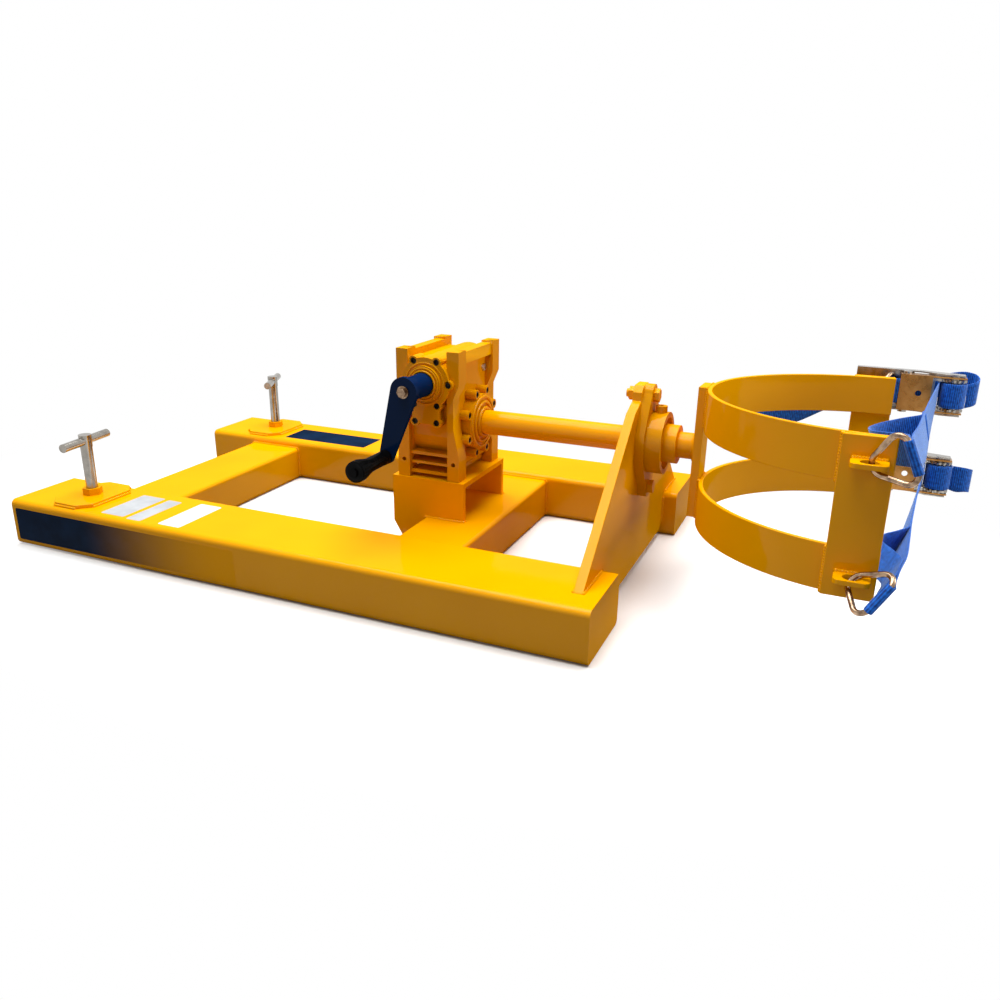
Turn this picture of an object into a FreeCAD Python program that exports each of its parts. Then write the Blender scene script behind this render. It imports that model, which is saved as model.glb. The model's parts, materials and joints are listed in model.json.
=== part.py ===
import FreeCAD, Part

import math
import os
import re

import Sketcher

# Fork mounted drum tipper: a frame that slides over two fork tines, a hand cranked worm
# gearbox, and a drum clamp of two hoops with ratchet straps that turns on the gearbox shaft.
# Millimetres, +Z up, +X from the tine mouths towards the drum, near side at -Y.
# The origin lies at floor level, midway between the mouths of the two fork tubes.

Vector = FreeCAD.Vector
Rotation = FreeCAD.Rotation
Placement = FreeCAD.Placement

DOC = FreeCAD.newDocument("drum_tipper")
SHEET = DOC.addObject("Spreadsheet::Sheet", "Sizes")
NODES = []

# Driving sizes, in millimetres, degrees or counts
SIZES = {
    # general
    "overrun": 2.0,
    "running_gap": 0.3,
    # fork tubes, their caps and the cross tubes
    "tube_length": 1285.0,
    "tube_width": 175.0,
    "tube_height": 100.0,
    "tube_wall": 6.0,
    "tube_corner": 12.0,
    "tube_inner_corner": 2.0,
    "tube_gap": 466.0,
    "cap_thickness": 6.0,
    "cross_width": 145.0,
    "cross_wall": 6.0,
    "cross_corner": 8.0,
    "rear_cross_start": 131.0,
    "rear_cross_height": 82.0,
    "middle_cross_setback": 7.0,
    "middle_cross_height": 90.0,
    # front plate
    "plate_start": 1236.0,
    "plate_thickness": 18.0,
    "plate_base": 700.0,
    "plate_shoulder": 140.0,
    "plate_shoulder_rise": 67.0,
    "plate_tongue": 60.0,
    "plate_tongue_rise": 83.0,
    "plate_top_rise": 111.0,
    "plate_top_chamfer": 12.0,
    "plate_bottom": 15.0,
    "plate_notch": 15.0,
    "plate_shaft_hole": 72.0,
    # drive shaft
    "shaft_height": 279.0,
    "shaft_diameter": 50.0,
    "shaft_tail": 74.0,
    "key_width": 14.0,
    "key_height": 9.0,
    "key_length": 70.0,
    # gearbox and its bracket
    "gearbox_x": 838.0,
    "gearbox_drop": 107.0,
    "bracket_setback": 81.0,
    "bracket_length": 162.0,
    "bracket_margin": 4.0,
    "bracket_thickness": 10.0,
    "bracket_tail_shoulder": 72.0,
    "bracket_tail_bottom": 12.0,
    "bracket_tail_inset": 36.0,
    "casing_length": 104.0,
    "casing_inset": 16.0,
    "casing_lift": 22.0,
    "casing_height": 224.0,
    "foot_reach": 138.0,
    "foot_span": 200.0,
    "foot_length": 26.0,
    "foot_depth": 34.0,
    "foot_height": 50.0,
    "waist_inset": 12.0,
    "waist_low": 108.0,
    "waist_high": 170.0,
    "top_block_rise": 199.0,
    "top_block_height": 65.0,
    "rim_inset": 4.0,
    "rim_drop": 4.0,
    "rim_height": 24.0,
    "foot_hole_radius": 4.5,
    "foot_hole_depth": 16.0,
    "foot_hole_rise": 36.0,
    "rib_thickness": 8.0,
    "rib_rise": 8.0,
    "rib_pitch": 19.0,
    "worm_boss_radius": 52.0,
    "output_boss_radius": 58.0,
    "ear_radius": 10.0,
    "ear_depth": 24.0,
    "cover_tail_width": 60.0,
    "cover_tail_drop": 82.0,
    "tail_screw_spread": 24.0,
    "tail_screw_drop": 78.0,
    "output_boss_span": 132.0,
    "wheel_room": 3.5,
    "wheel_room_width": 44.0,
    "wheel_bearing_radius": 45.0,
    "wheel_bearing_width": 13.0,
    "worm_bearing_radius": 31.0,
    "worm_bearing_width": 16.0,
    "cover_thickness": 10.0,
    "input_ring_radius": 36.0,
    "input_ring_rise": 7.0,
    "end_cap_radius": 42.0,
    "end_cap_thickness": 6.0,
    "cover_screw_radius": 4.0,
    "cover_screw_depth": 20.0,
    "cover_screw_head_radius": 6.5,
    "cover_screw_head": 5.0,
    "input_screw_circle": 50.0,
    "input_screw_count": 6,
    "output_screw_circle": 66.0,
    "output_screw_count": 8,
    "socket_radius": 3.2,
    "socket_depth": 3.5,
    "oil_plug_radius": 8.0,
    "oil_plug_length": 14.0,
    "oil_plug_stand": 5.0,
    "oil_plug_aside": 55.0,
    "upper_plug_rise": 10.0,
    "lower_plug_drop": 45.0,
    "foot_bolt_radius": 5.0,
    "foot_bolt_length": 26.0,
    "foot_bolt_head_radius": 9.0,
    "foot_bolt_head": 6.4,
    # worm and wheel
    "gear_module": 3.5,
    "wheel_teeth": 40,
    "wheel_width": 28.0,
    "wheel_hub_radius": 33.0,
    "worm_pitch": 46.0,
    "worm_length": 74.0,
    "worm_journal_radius": 15.0,
    "mesh_gap": 0.45,
    "pressure_angle": 20.0,
    # flange bearing on the front plate
    "flange_thickness": 18.0,
    "flange_width": 128.0,
    "flange_tip_radius": 21.0,
    "flange_bolt_spacing": 182.0,
    "flange_bolt_radius": 8.0,
    "flange_hole_gap": 0.75,
    "bolt_head_radius": 13.5,
    "bolt_head": 10.0,
    "nut_height": 13.0,
    "bolt_tail": 5.0,
    "housing_radius": 60.0,
    "housing_length": 30.0,
    "grease_boss_radius": 11.0,
    "grease_boss_height": 12.0,
    "grease_hole_radius": 4.0,
    "bearing_outer_radius": 50.0,
    "bearing_race_radius": 37.0,
    "bearing_outer_width": 26.0,
    "bearing_inner_width": 60.0,
    # clamp: spine, hoops, end plates and lugs, turned to the angle that it stands at
    "clamp_turn": -2.5,
    "clamp_drop": 6.0,
    "hoop_x": 1681.0,
    "hoop_radius": 300.0,
    "hoop_thickness": 8.0,
    "hoop_height": 75.0,
    "hoop_spacing": 174.0,
    "hoop_leg": 12.0,
    "spine_thickness": 16.0,
    "spine_width": 60.0,
    "end_plate_width": 75.0,
    "end_plate_thickness": 10.0,
    "end_plate_lead": 11.0,
    "lug_width": 52.0,
    "lug_depth": 40.0,
    "lug_thickness": 8.0,
    "lug_lead": 8.0,
    "lug_hole_radius": 13.0,
    "lug_hole_reach": 21.0,
    "lug_corner": 10.0,
    # delta rings on the lugs
    "ring_wire_radius": 4.5,
    "ring_half_width": 42.0,
    "ring_height": 64.0,
    "ring_apex_bend": 16.0,
    "ring_corner_bend": 8.0,
    "far_ring_yaw": 60.0,
    "upper_ring_yaw": -26.0,
    "upper_ring_lift": 24.0,
    "upper_ring_roll": 6.0,
    "far_ring_seat": 2.7,
    "upper_ring_seat": 1.0,
    "lower_ring_seat": -4.0,
    "upper_ring_shift": -4.0,
    "lower_ring_shift": 0.0,
    "lower_ring_yaw": -48.0,
    "lower_ring_lift": -4.0,
    "lower_ring_roll": -42.0,
    # webbing
    "webbing_width": 50.0,
    "webbing_thickness": 2.4,
    "webbing_pitch": 3.0,
    "webbing_turns": 4,
    "soft_gap": 0.5,
    "upper_strap_bow": -3.0,
    "lower_strap_bow": -14.0,
    "upper_loop_bow": 66.0,
    "lower_loop_bow": 36.0,
    # ratchets
    "spool_gap": 90.65,
    "spool_radius": 11.0,
    "spool_journal_radius": 9.0,
    "spool_slot": 3.0,
    "wheel_inner": 28.0,
    "ratchet_wheel_thickness": 5.0,
    "ratchet_wheel_radius": 24.0,
    "ratchet_tooth_depth": 5.0,
    "ratchet_teeth": 12,
    "steel_thickness": 3.0,
    "frame_inner": 35.0,
    "frame_lead": 22.0,
    "frame_web_front": 41.0,
    "frame_inset": 15.0,
    "frame_outset": 15.0,
    "frame_hole_radius": 6.0,
    "anchor_gap": 24.0,
    "anchor_bolt_radius": 6.0,
    "anchor_head_radius": 9.0,
    "anchor_head": 5.0,
    "handle_inner": 40.0,
    "handle_length": 190.0,
    "handle_offset": 13.0,
    "handle_depth": 20.0,
    "handle_neck": 62.0,
    "handle_eye": 19.0,
    "handle_grip": 36.0,
    "handle_web_start": 76.0,
    "handle_stroke": 105.0,
    "pawl_thickness": 3.0,
    "pawl_tip": 5.0,
    "pawl_body": 14.0,
    "pawl_gap": 0.6,
    "pawl_share": 0.82,
    "pawl_arm": 15.0,
    # loose webbing tails
    "tail_bend_radius": 21.0,
    "upper_tail_lead": 2.0,
    "lower_tail_lead": 20.0,
    "upper_tail_rise": 20.0,
    "lower_tail_rise": -16.0,
    "upper_tail_run": 425.0,
    "lower_tail_run": 46.0,
    "upper_tail_sag": 82.0,
    "lower_tail_sag": 4.0,
    "upper_tail_drift": 66.0,
    "lower_tail_drift": 2.0,
    # crank
    "crank_hub_radius": 23.0,
    "crank_hub_length": 68.0,
    "crank_hub_start": 3.0,
    "crank_arm_thickness": 10.0,
    "crank_arm_length": 138.0,
    "crank_arm_angle": 17.5,
    "crank_eye_radius": 28.0,
    "crank_tip_radius": 15.0,
    "crank_bolt_radius": 6.0,
    "crank_washer_radius": 12.0,
    "crank_washer": 2.5,
    "crank_bolt_head_radius": 9.5,
    "crank_bolt_head": 6.5,
    "input_shaft_radius": 14.0,
    "input_shaft_depth": 48.0,
    "grip_pin_radius": 6.0,
    "grip_length": 116.0,
    "grip_radius": 15.0,
    "grip_end_radius": 21.0,
    "grip_end_length": 36.0,
    "grip_gap": 1.0,
    "grip_pin_head_radius": 8.5,
    "grip_pin_head": 4.0,
    # clamp screws that lock the fork tubes to the tines
    "screw_x": 142.0,
    "screw_radius": 12.0,
    "screw_top": 225.0,
    "screw_bottom": 82.0,
    "far_screw_raise": 9.0,
    "screw_base_length": 105.0,
    "screw_base_width": 150.0,
    "screw_base_thickness": 8.0,
    "screw_base_chamfer": 24.0,
    "screw_nut_radius": 20.0,
    "screw_nut_height": 14.0,
    "tee_radius": 9.0,
    "tee_length": 134.0,
    "near_tee_angle": 98.0,
    "far_tee_angle": 115.0,
    "tee_collar_radius": 13.0,
    "tee_collar": 26.0,
}

# Places and sizes that follow from the driving ones
FOLLOWS = {
    "tube_inner_y": "tube_gap / 2",
    "tube_outer_y": "tube_gap / 2 + tube_width",
    "tube_middle_y": "tube_gap / 2 + tube_width / 2",
    "tube_body": "tube_length - cap_thickness",
    "plate_front": "plate_start + plate_thickness",
    "gearbox_base": "shaft_height - gearbox_drop",
    "middle_cross_start": "gearbox_x - middle_cross_setback",
    "shaft_rear": "gearbox_x - shaft_tail",
    "bracket_start": "gearbox_x - bracket_setback",
    "wheel_pitch_radius": "gear_module * wheel_teeth / 2",
    "worm_height": "shaft_height + wheel_pitch_radius + worm_pitch / 2",
    "bracket_width": "foot_span + 2 * bracket_margin",
    "casing_width": "foot_span - 2 * casing_inset",
    "worm_face": "foot_span / 2",
    "input_face": "worm_face + cover_thickness",
    "output_face": "output_boss_span / 2",
    "housing_front": "plate_front + flange_thickness + housing_length",
    "bearing_middle": "plate_front + (flange_thickness + housing_length) / 2",
    "clamp_middle": "shaft_height - clamp_drop",
    "hoop_outer": "hoop_radius + hoop_thickness",
    "spine_front": "hoop_x - hoop_outer",
    "spine_rear": "spine_front - spine_thickness",
    "clamp_height": "hoop_spacing + hoop_height",
    "clamp_bottom": "clamp_middle - clamp_height / 2",
    "end_plate_face": "hoop_outer + end_plate_thickness",
    "end_plate_front": "hoop_x + end_plate_lead",
    "lug_start": "end_plate_front - lug_lead - lug_width",
    "lug_hole_x": "lug_start + lug_width / 2",
    "lug_hole_y": "end_plate_face + lug_hole_reach",
    "roll_inner": "spool_radius + webbing_thickness / 2 + soft_gap",
    "roll_outer": "roll_inner + webbing_pitch * webbing_turns + webbing_thickness / 2",
    "ring_bar_x": "lug_hole_x + (ring_height + far_ring_seat) * cos(far_ring_yaw)",
    "ratchet_y": "lug_hole_y + (ring_height + far_ring_seat) * sin(far_ring_yaw)",
    "anchor_x": "ring_bar_x + anchor_gap",
    "spool_x": "anchor_x + spool_gap",
    "frame_rear": "anchor_x - anchor_head_radius - steel_thickness",
    "crank_start": "input_face + input_ring_rise + crank_hub_start",
    "crank_arm_face": "crank_start + crank_hub_length",
    "grip_start": "crank_arm_face + crank_arm_thickness + grip_gap",
}

# How far along each taut strap, as shares of its length, and how much of its bow it has there
STRAP_BOW_SHARES = ((0.07, 0.5), (0.17, 1.0), (0.27, 0.8), (0.40, 0.4), (0.60, 0.1), (0.80, 0.0))
# The same for the slack layer of the sewn loop round the near ring, which ends at its joint
LOOP_BOW_SHARES = {
    "upper": ((0.07, 0.06), (0.12, 0.5), (0.17, 0.9), (0.22, 1.0), (0.27, 0.8), (0.31, 0.42), (0.34, 0.0)),
    "lower": ((0.06, -0.1), (0.11, -0.2), (0.16, 0.25), (0.21, 0.8), (0.26, 1.0), (0.30, 0.75), (0.335, 0.35),
              (0.36, 0.0)),
}
HALF_SHARE = 0.5
# Places along one ratchet tooth, as shares of its pitch: tip, tip, root, root
TOOTH_SHARES = (0.0, 0.2, 0.3, 0.7)
FLANGE_TIP_SHARE = 0.7
FLANGE_FLAT_SHARE = 0.2
HANDLE_EYE_SHARE = 0.6
# How far along each loose tail's run, as shares, with its share of the drift and of the sag
TAIL_SHARES = ((0.35, 0.0, 0.0), (0.60, 0.1, 0.45), (0.80, 0.5, 0.92), (1.0, 1.0, 1.0))

ALIASES = list(SIZES) + list(FOLLOWS)
AXIS_TURN = {
    "x": Rotation(Vector(0, 1, 0), 90),
    "y": Rotation(Vector(1, 0, 0), -90),
    "z": Rotation(),
}


def fill_sheet():
    """Write the driving sizes and what follows from them into the sheet."""
    for row, (alias, amount) in enumerate(SIZES.items(), start=1):
        SHEET.set(f"A{row}", alias)
        SHEET.set(f"B{row}", str(amount))
        SHEET.setAlias(f"B{row}", alias)
    for row, (alias, formula) in enumerate(FOLLOWS.items(), start=1):
        SHEET.set(f"D{row}", alias)
        SHEET.set(f"E{row}", "=" + formula)
        SHEET.setAlias(f"E{row}", alias)
    DOC.recompute()


def size(alias):
    """Return one value of the sheet as a number."""
    return float(SHEET.get(alias))


def from_sheet(formula):
    """Return a formula with each alias pointed at the sheet."""
    def pointed(match):
        word = match.group()
        return f"Sizes.{word}" if word in ALIASES else word
    return re.sub(r"[a-z][a-z_]*", pointed, formula)


def bind(item, formulas):
    """Bind properties of an object to formulas of the sheet."""
    for name, formula in formulas:
        if formula != "0":
            item.setExpression(name, from_sheet(formula))


def place(item, spot):
    """Bind the base of an object's placement."""
    bind(item, zip(("Placement.Base.x", "Placement.Base.y", "Placement.Base.z"), spot))


def box(name, corner, extent):
    """Return a box from its lowest corner and its extent."""
    item = DOC.addObject("Part::Box", name)
    bind(item, zip(("Length", "Width", "Height"), extent))
    place(item, corner)
    return item


def rod(name, start, axis, radius, length):
    """Return a cylinder that runs from start along +axis."""
    item = DOC.addObject("Part::Cylinder", name)
    item.Placement = Placement(Vector(), AXIS_TURN[axis])
    bind(item, (("Radius", radius), ("Height", length)))
    place(item, start)
    return item


def taper(name, start, axis, radius, end_radius, length):
    """Return a cone that runs from start along +axis."""
    item = DOC.addObject("Part::Cone", name)
    item.Placement = Placement(Vector(), AXIS_TURN[axis])
    bind(item, (("Radius1", radius), ("Radius2", end_radius), ("Height", length)))
    place(item, start)
    return item


def fuse(name, *pieces):
    """Return the union of several objects."""
    item = DOC.addObject("Part::MultiFuse", name)
    item.Shapes = list(pieces)
    item.Refine = True
    return item


def cut(name, base, *tools):
    """Return base with the tools taken out of it."""
    item = DOC.addObject("Part::Cut", name)
    item.Base = base
    item.Tool = tools[0] if len(tools) == 1 else group(name + "_tools", *tools)
    item.Refine = True
    return item


def group(name, *pieces):
    """Return one object that holds several separate solids."""
    item = DOC.addObject("Part::Compound", name)
    item.Links = list(pieces)
    return item


def solid(name, shape):
    """Return an object that holds a shape made with Part's own functions."""
    item = DOC.addObject("Part::Feature", name)
    item.Shape = shape
    return item


def rounded(name, base, axis, radius):
    """Return a box with its four long edges along axis rounded."""
    DOC.recompute()
    along = {"x": Vector(1, 0, 0), "y": Vector(0, 1, 0), "z": Vector(0, 0, 1)}[axis]
    item = DOC.addObject("Part::Fillet", name)
    item.Base = base
    edges = []
    for number, edge in enumerate(base.Shape.Edges, start=1):
        run = edge.lastVertex().Point - edge.firstVertex().Point
        if run.normalize().isParallel(along, 0.01):
            edges.append((number, size(radius), size(radius)))
    item.Edges = edges
    return item


def plate(name, role, outline, start, thickness):
    """Return a padded sketch, with each corner of its outline bound to the sheet.

    The sketch lies start away from the origin plane named by role, along its normal.
    """
    body = DOC.addObject("PartDesign::Body", name)
    plane = [item for item in body.Origin.OriginFeatures if item.Role == role][0]
    sketch = body.newObject("Sketcher::SketchObject", name + "_outline")
    sketch.AttachmentSupport = [(plane, "")]
    sketch.MapMode = "FlatFace"
    bind(sketch, (("AttachmentOffset.Base.z", start),))
    marks = [Vector(math.cos(i), math.sin(i), 0) for i in range(len(outline))]
    for i, mark in enumerate(marks):
        sketch.addGeometry(Part.LineSegment(mark, marks[(i + 1) % len(marks)]), False)
    for i, (across, up) in enumerate(outline):
        sketch.addConstraint(Sketcher.Constraint("Coincident", i, 2, (i + 1) % len(outline), 1))
        for kind, formula in (("DistanceX", across), ("DistanceY", up)):
            number = sketch.addConstraint(Sketcher.Constraint(kind, -1, 1, i, 1, 1.0))
            sketch.setExpression(f"Constraints[{number}]", from_sheet(formula))
    pad = body.newObject("PartDesign::Pad", name + "_pad")
    pad.Profile = sketch
    bind(pad, (("Length", thickness),))
    return body


def node(label, item):
    """Name a finished sub-part and keep it for export."""
    item.Label = label
    NODES.append(item)
    return item


def turned(label, item):
    """Finish a sub-part of the clamp, turned about the shaft to its standing angle."""
    holder = group(label + "_turned", item)
    DOC.recompute()
    pivot = Vector(0, 0, size("shaft_height"))
    holder.Placement = Placement(Vector(), Rotation(Vector(1, 0, 0), size("clamp_turn")), pivot)
    return node(label, holder)


def build_frame():
    """Fork tubes, caps, cross tubes and the front plate."""
    caps = []
    for side, low in (("near", "-tube_outer_y"), ("far", "tube_inner_y")):
        outer = box(f"{side}_tube_outer", ("0", low, "0"), ("tube_body", "tube_width", "tube_height"))
        inner = box(
            f"{side}_tube_inner",
            ("-overrun", f"{low} + tube_wall", "tube_wall"),
            ("tube_body + 2 * overrun", "tube_width - 2 * tube_wall", "tube_height - 2 * tube_wall"),
        )
        screw_hole = rod(
            f"{side}_tube_screw_hole",
            ("screw_x", f"{low} + tube_width / 2", "tube_height / 2"),
            "z", "screw_radius + running_gap", "tube_height",
        )
        skin = rounded(f"{side}_tube_skin", outer, "x", "tube_corner")
        room = rounded(f"{side}_tube_room", inner, "x", "tube_inner_corner")
        node(f"{side}_fork_tube", cut(f"{side}_tube", skin, room, screw_hole))
        cap = box(f"{side}_cap", ("tube_body", low, "0"), ("cap_thickness", "tube_width", "tube_height"))
        caps.append(rounded(f"{side}_cap_rounded", cap, "x", "tube_corner"))
    node("tube_end_caps", group("caps", *caps))
    for side in ("rear", "middle"):
        start = f"{side}_cross_start"
        height = f"{side}_cross_height"
        outer = box(f"{side}_cross_outer", (start, "-tube_inner_y", "0"), ("cross_width", "tube_gap", height))
        inner = box(
            f"{side}_cross_inner",
            (f"{start} + cross_wall", "-tube_inner_y - overrun", "cross_wall"),
            ("cross_width - 2 * cross_wall", "tube_gap + 2 * overrun", f"{height} - 2 * cross_wall"),
        )
        skin = rounded(f"{side}_cross_skin", outer, "y", "cross_corner")
        room = rounded(f"{side}_cross_room", inner, "y", "tube_inner_corner")
        node(f"{side}_cross_tube", cut(f"{side}_cross", skin, room))
    half = (
        ("plate_base / 2", "tube_height"),
        ("plate_shoulder / 2", "shaft_height + plate_shoulder_rise"),
        ("plate_tongue / 2", "shaft_height + plate_tongue_rise"),
        ("plate_tongue / 2", "shaft_height + plate_top_rise - plate_top_chamfer"),
        ("plate_tongue / 2 - plate_top_chamfer", "shaft_height + plate_top_rise"),
    )
    foot = (
        ("tube_inner_y - plate_notch", "plate_bottom"),
        ("tube_inner_y", "plate_bottom + plate_notch"),
        ("tube_inner_y", "tube_height"),
    )
    near_half = [(f"-({across})", up) for across, up in reversed(half)]
    near_foot = [(f"-({across})", up) for across, up in reversed(foot)]
    blank = plate("front_blank", "YZ_Plane", list(foot + half) + near_half + near_foot,
                  "plate_start", "plate_thickness")
    holes = [rod("plate_shaft_opening", ("plate_start - overrun", "0", "shaft_height"), "x",
                 "plate_shaft_hole / 2", "plate_thickness + 2 * overrun")]
    for sign in ("+", "-"):
        holes.append(rod("plate_bolt_hole", ("plate_start - overrun", "0",
                                             f"shaft_height {sign} flange_bolt_spacing / 2"),
                         "x", "flange_bolt_radius + flange_hole_gap", "plate_thickness + 2 * overrun"))
    node("front_plate", cut("front_plate_cut", blank, *holes))


def build_bracket():
    """Bent plate that carries the gearbox on the middle cross tube."""
    front = "bracket_start + bracket_length"
    outline = (
        ("bracket_start", "gearbox_base"),
        ("bracket_start", "bracket_tail_shoulder"),
        ("bracket_start + bracket_tail_inset", "bracket_tail_bottom"),
        ("middle_cross_start", "bracket_tail_bottom"),
        ("middle_cross_start", "middle_cross_height"),
        (front, "middle_cross_height"),
        (front, "gearbox_base"),
    )
    near = plate("bracket_near", "XZ_Plane", outline, "bracket_width / 2 - bracket_thickness",
                 "bracket_thickness")
    far = plate("bracket_far", "XZ_Plane", outline, "-bracket_width / 2", "bracket_thickness")
    top = box("bracket_top", ("bracket_start", "-bracket_width / 2", "gearbox_base - bracket_thickness"),
              ("bracket_length", "bracket_width", "bracket_thickness"))
    holes = [rod("bracket_hole", (x, y, "gearbox_base - bracket_thickness - overrun"), "z",
                 "foot_bolt_radius", "bracket_thickness + 2 * overrun") for x, y in foot_places()]
    node("gearbox_bracket", cut("bracket_cut", fuse("bracket", near, far, top), *holes))


def foot_places():
    """Return the middles of the four gearbox feet."""
    across = "(foot_reach - foot_length) / 2"
    deep = "(foot_span - foot_depth) / 2"
    return [(f"gearbox_x {i} {across}", f"0 {j} {deep}") for i in "+-" for j in "+-"]


def screw_ring(centre, circle, count, turn_share=0):
    """Return the places of screws on a circle round a centre, as pairs across and up.

    turn_share turns the ring by that share of the step between two screws.
    """
    step = 360.0 / count
    return [(f"{centre[0]} + {circle} * cos({step * (i + turn_share)})",
             f"{centre[1]} + {circle} * sin({step * (i + turn_share)})") for i in range(count)]


def along(axis, start, spot):
    """Return the start of a rod along x or y at a place given across and up."""
    return (start, *spot) if axis == "x" else (spot[0], start, spot[1])


def cover_screws(name, spots, axis, face, inward):
    """Return the blanks of socket screws with their heads flush with a cover's face.

    face is the place of that face along axis, and inward the sign of the way into the casing.
    """
    blanks = []
    for i, spot in enumerate(spots):
        low = f"({face})" if inward == "+" else f"({face}) - cover_screw_depth"
        head_low = f"({face})" if inward == "+" else f"({face}) - cover_screw_head"
        shank = rod(f"{name}_shank", along(axis, low, spot), axis, "cover_screw_radius", "cover_screw_depth")
        head = rod(f"{name}_head", along(axis, head_low, spot), axis, "cover_screw_head_radius",
                   "cover_screw_head")
        blanks.append(fuse(f"{name}_{i}", shank, head))
    return blanks


def socketed(name, blanks, spots, axis, face, inward):
    """Return the screws with their sockets cut."""
    low = f"({face}) - overrun" if inward == "+" else f"({face}) - socket_depth"
    return [cut(f"{name}_{i}", blank, rod(f"{name}_socket", along(axis, low, spot), axis, "socket_radius",
                                          "socket_depth + overrun"))
            for i, (blank, spot) in enumerate(zip(blanks, spots))]


def build_columns():
    """Return the four waisted corner columns of the casing, from its feet to its top blocks."""
    x, base = "gearbox_x", "gearbox_base"
    columns = []
    for side in "+-":
        outer = f"{x} {side} foot_reach / 2"
        inner = f"{x} {side} (foot_reach / 2 - foot_length)"
        waist = f"{x} {side} (foot_reach / 2 - waist_inset)"
        top = f"{base} + top_block_rise + top_block_height"
        outline = [(inner, base), (outer, base), (outer, f"{base} + foot_height"),
                   (waist, f"{base} + waist_low"), (waist, f"{base} + waist_high"),
                   (outer, f"{base} + top_block_rise"), (outer, top), (inner, top)]
        for start in ("foot_span / 2 - foot_depth", "-foot_span / 2"):
            columns.append(plate("casing_column", "XZ_Plane", outline, start, "foot_depth"))
        low = f"{x} + foot_reach / 2 - foot_length" if side == "+" else f"{x} - foot_reach / 2 + rim_inset"
        columns.append(box("casing_rim", (low, "-foot_span / 2 + foot_depth - overrun",
                                          f"{top} - rim_drop - rim_height"),
                           ("foot_length - rim_inset", "foot_span - 2 * foot_depth + 2 * overrun",
                            "rim_height")))
    return columns


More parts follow.
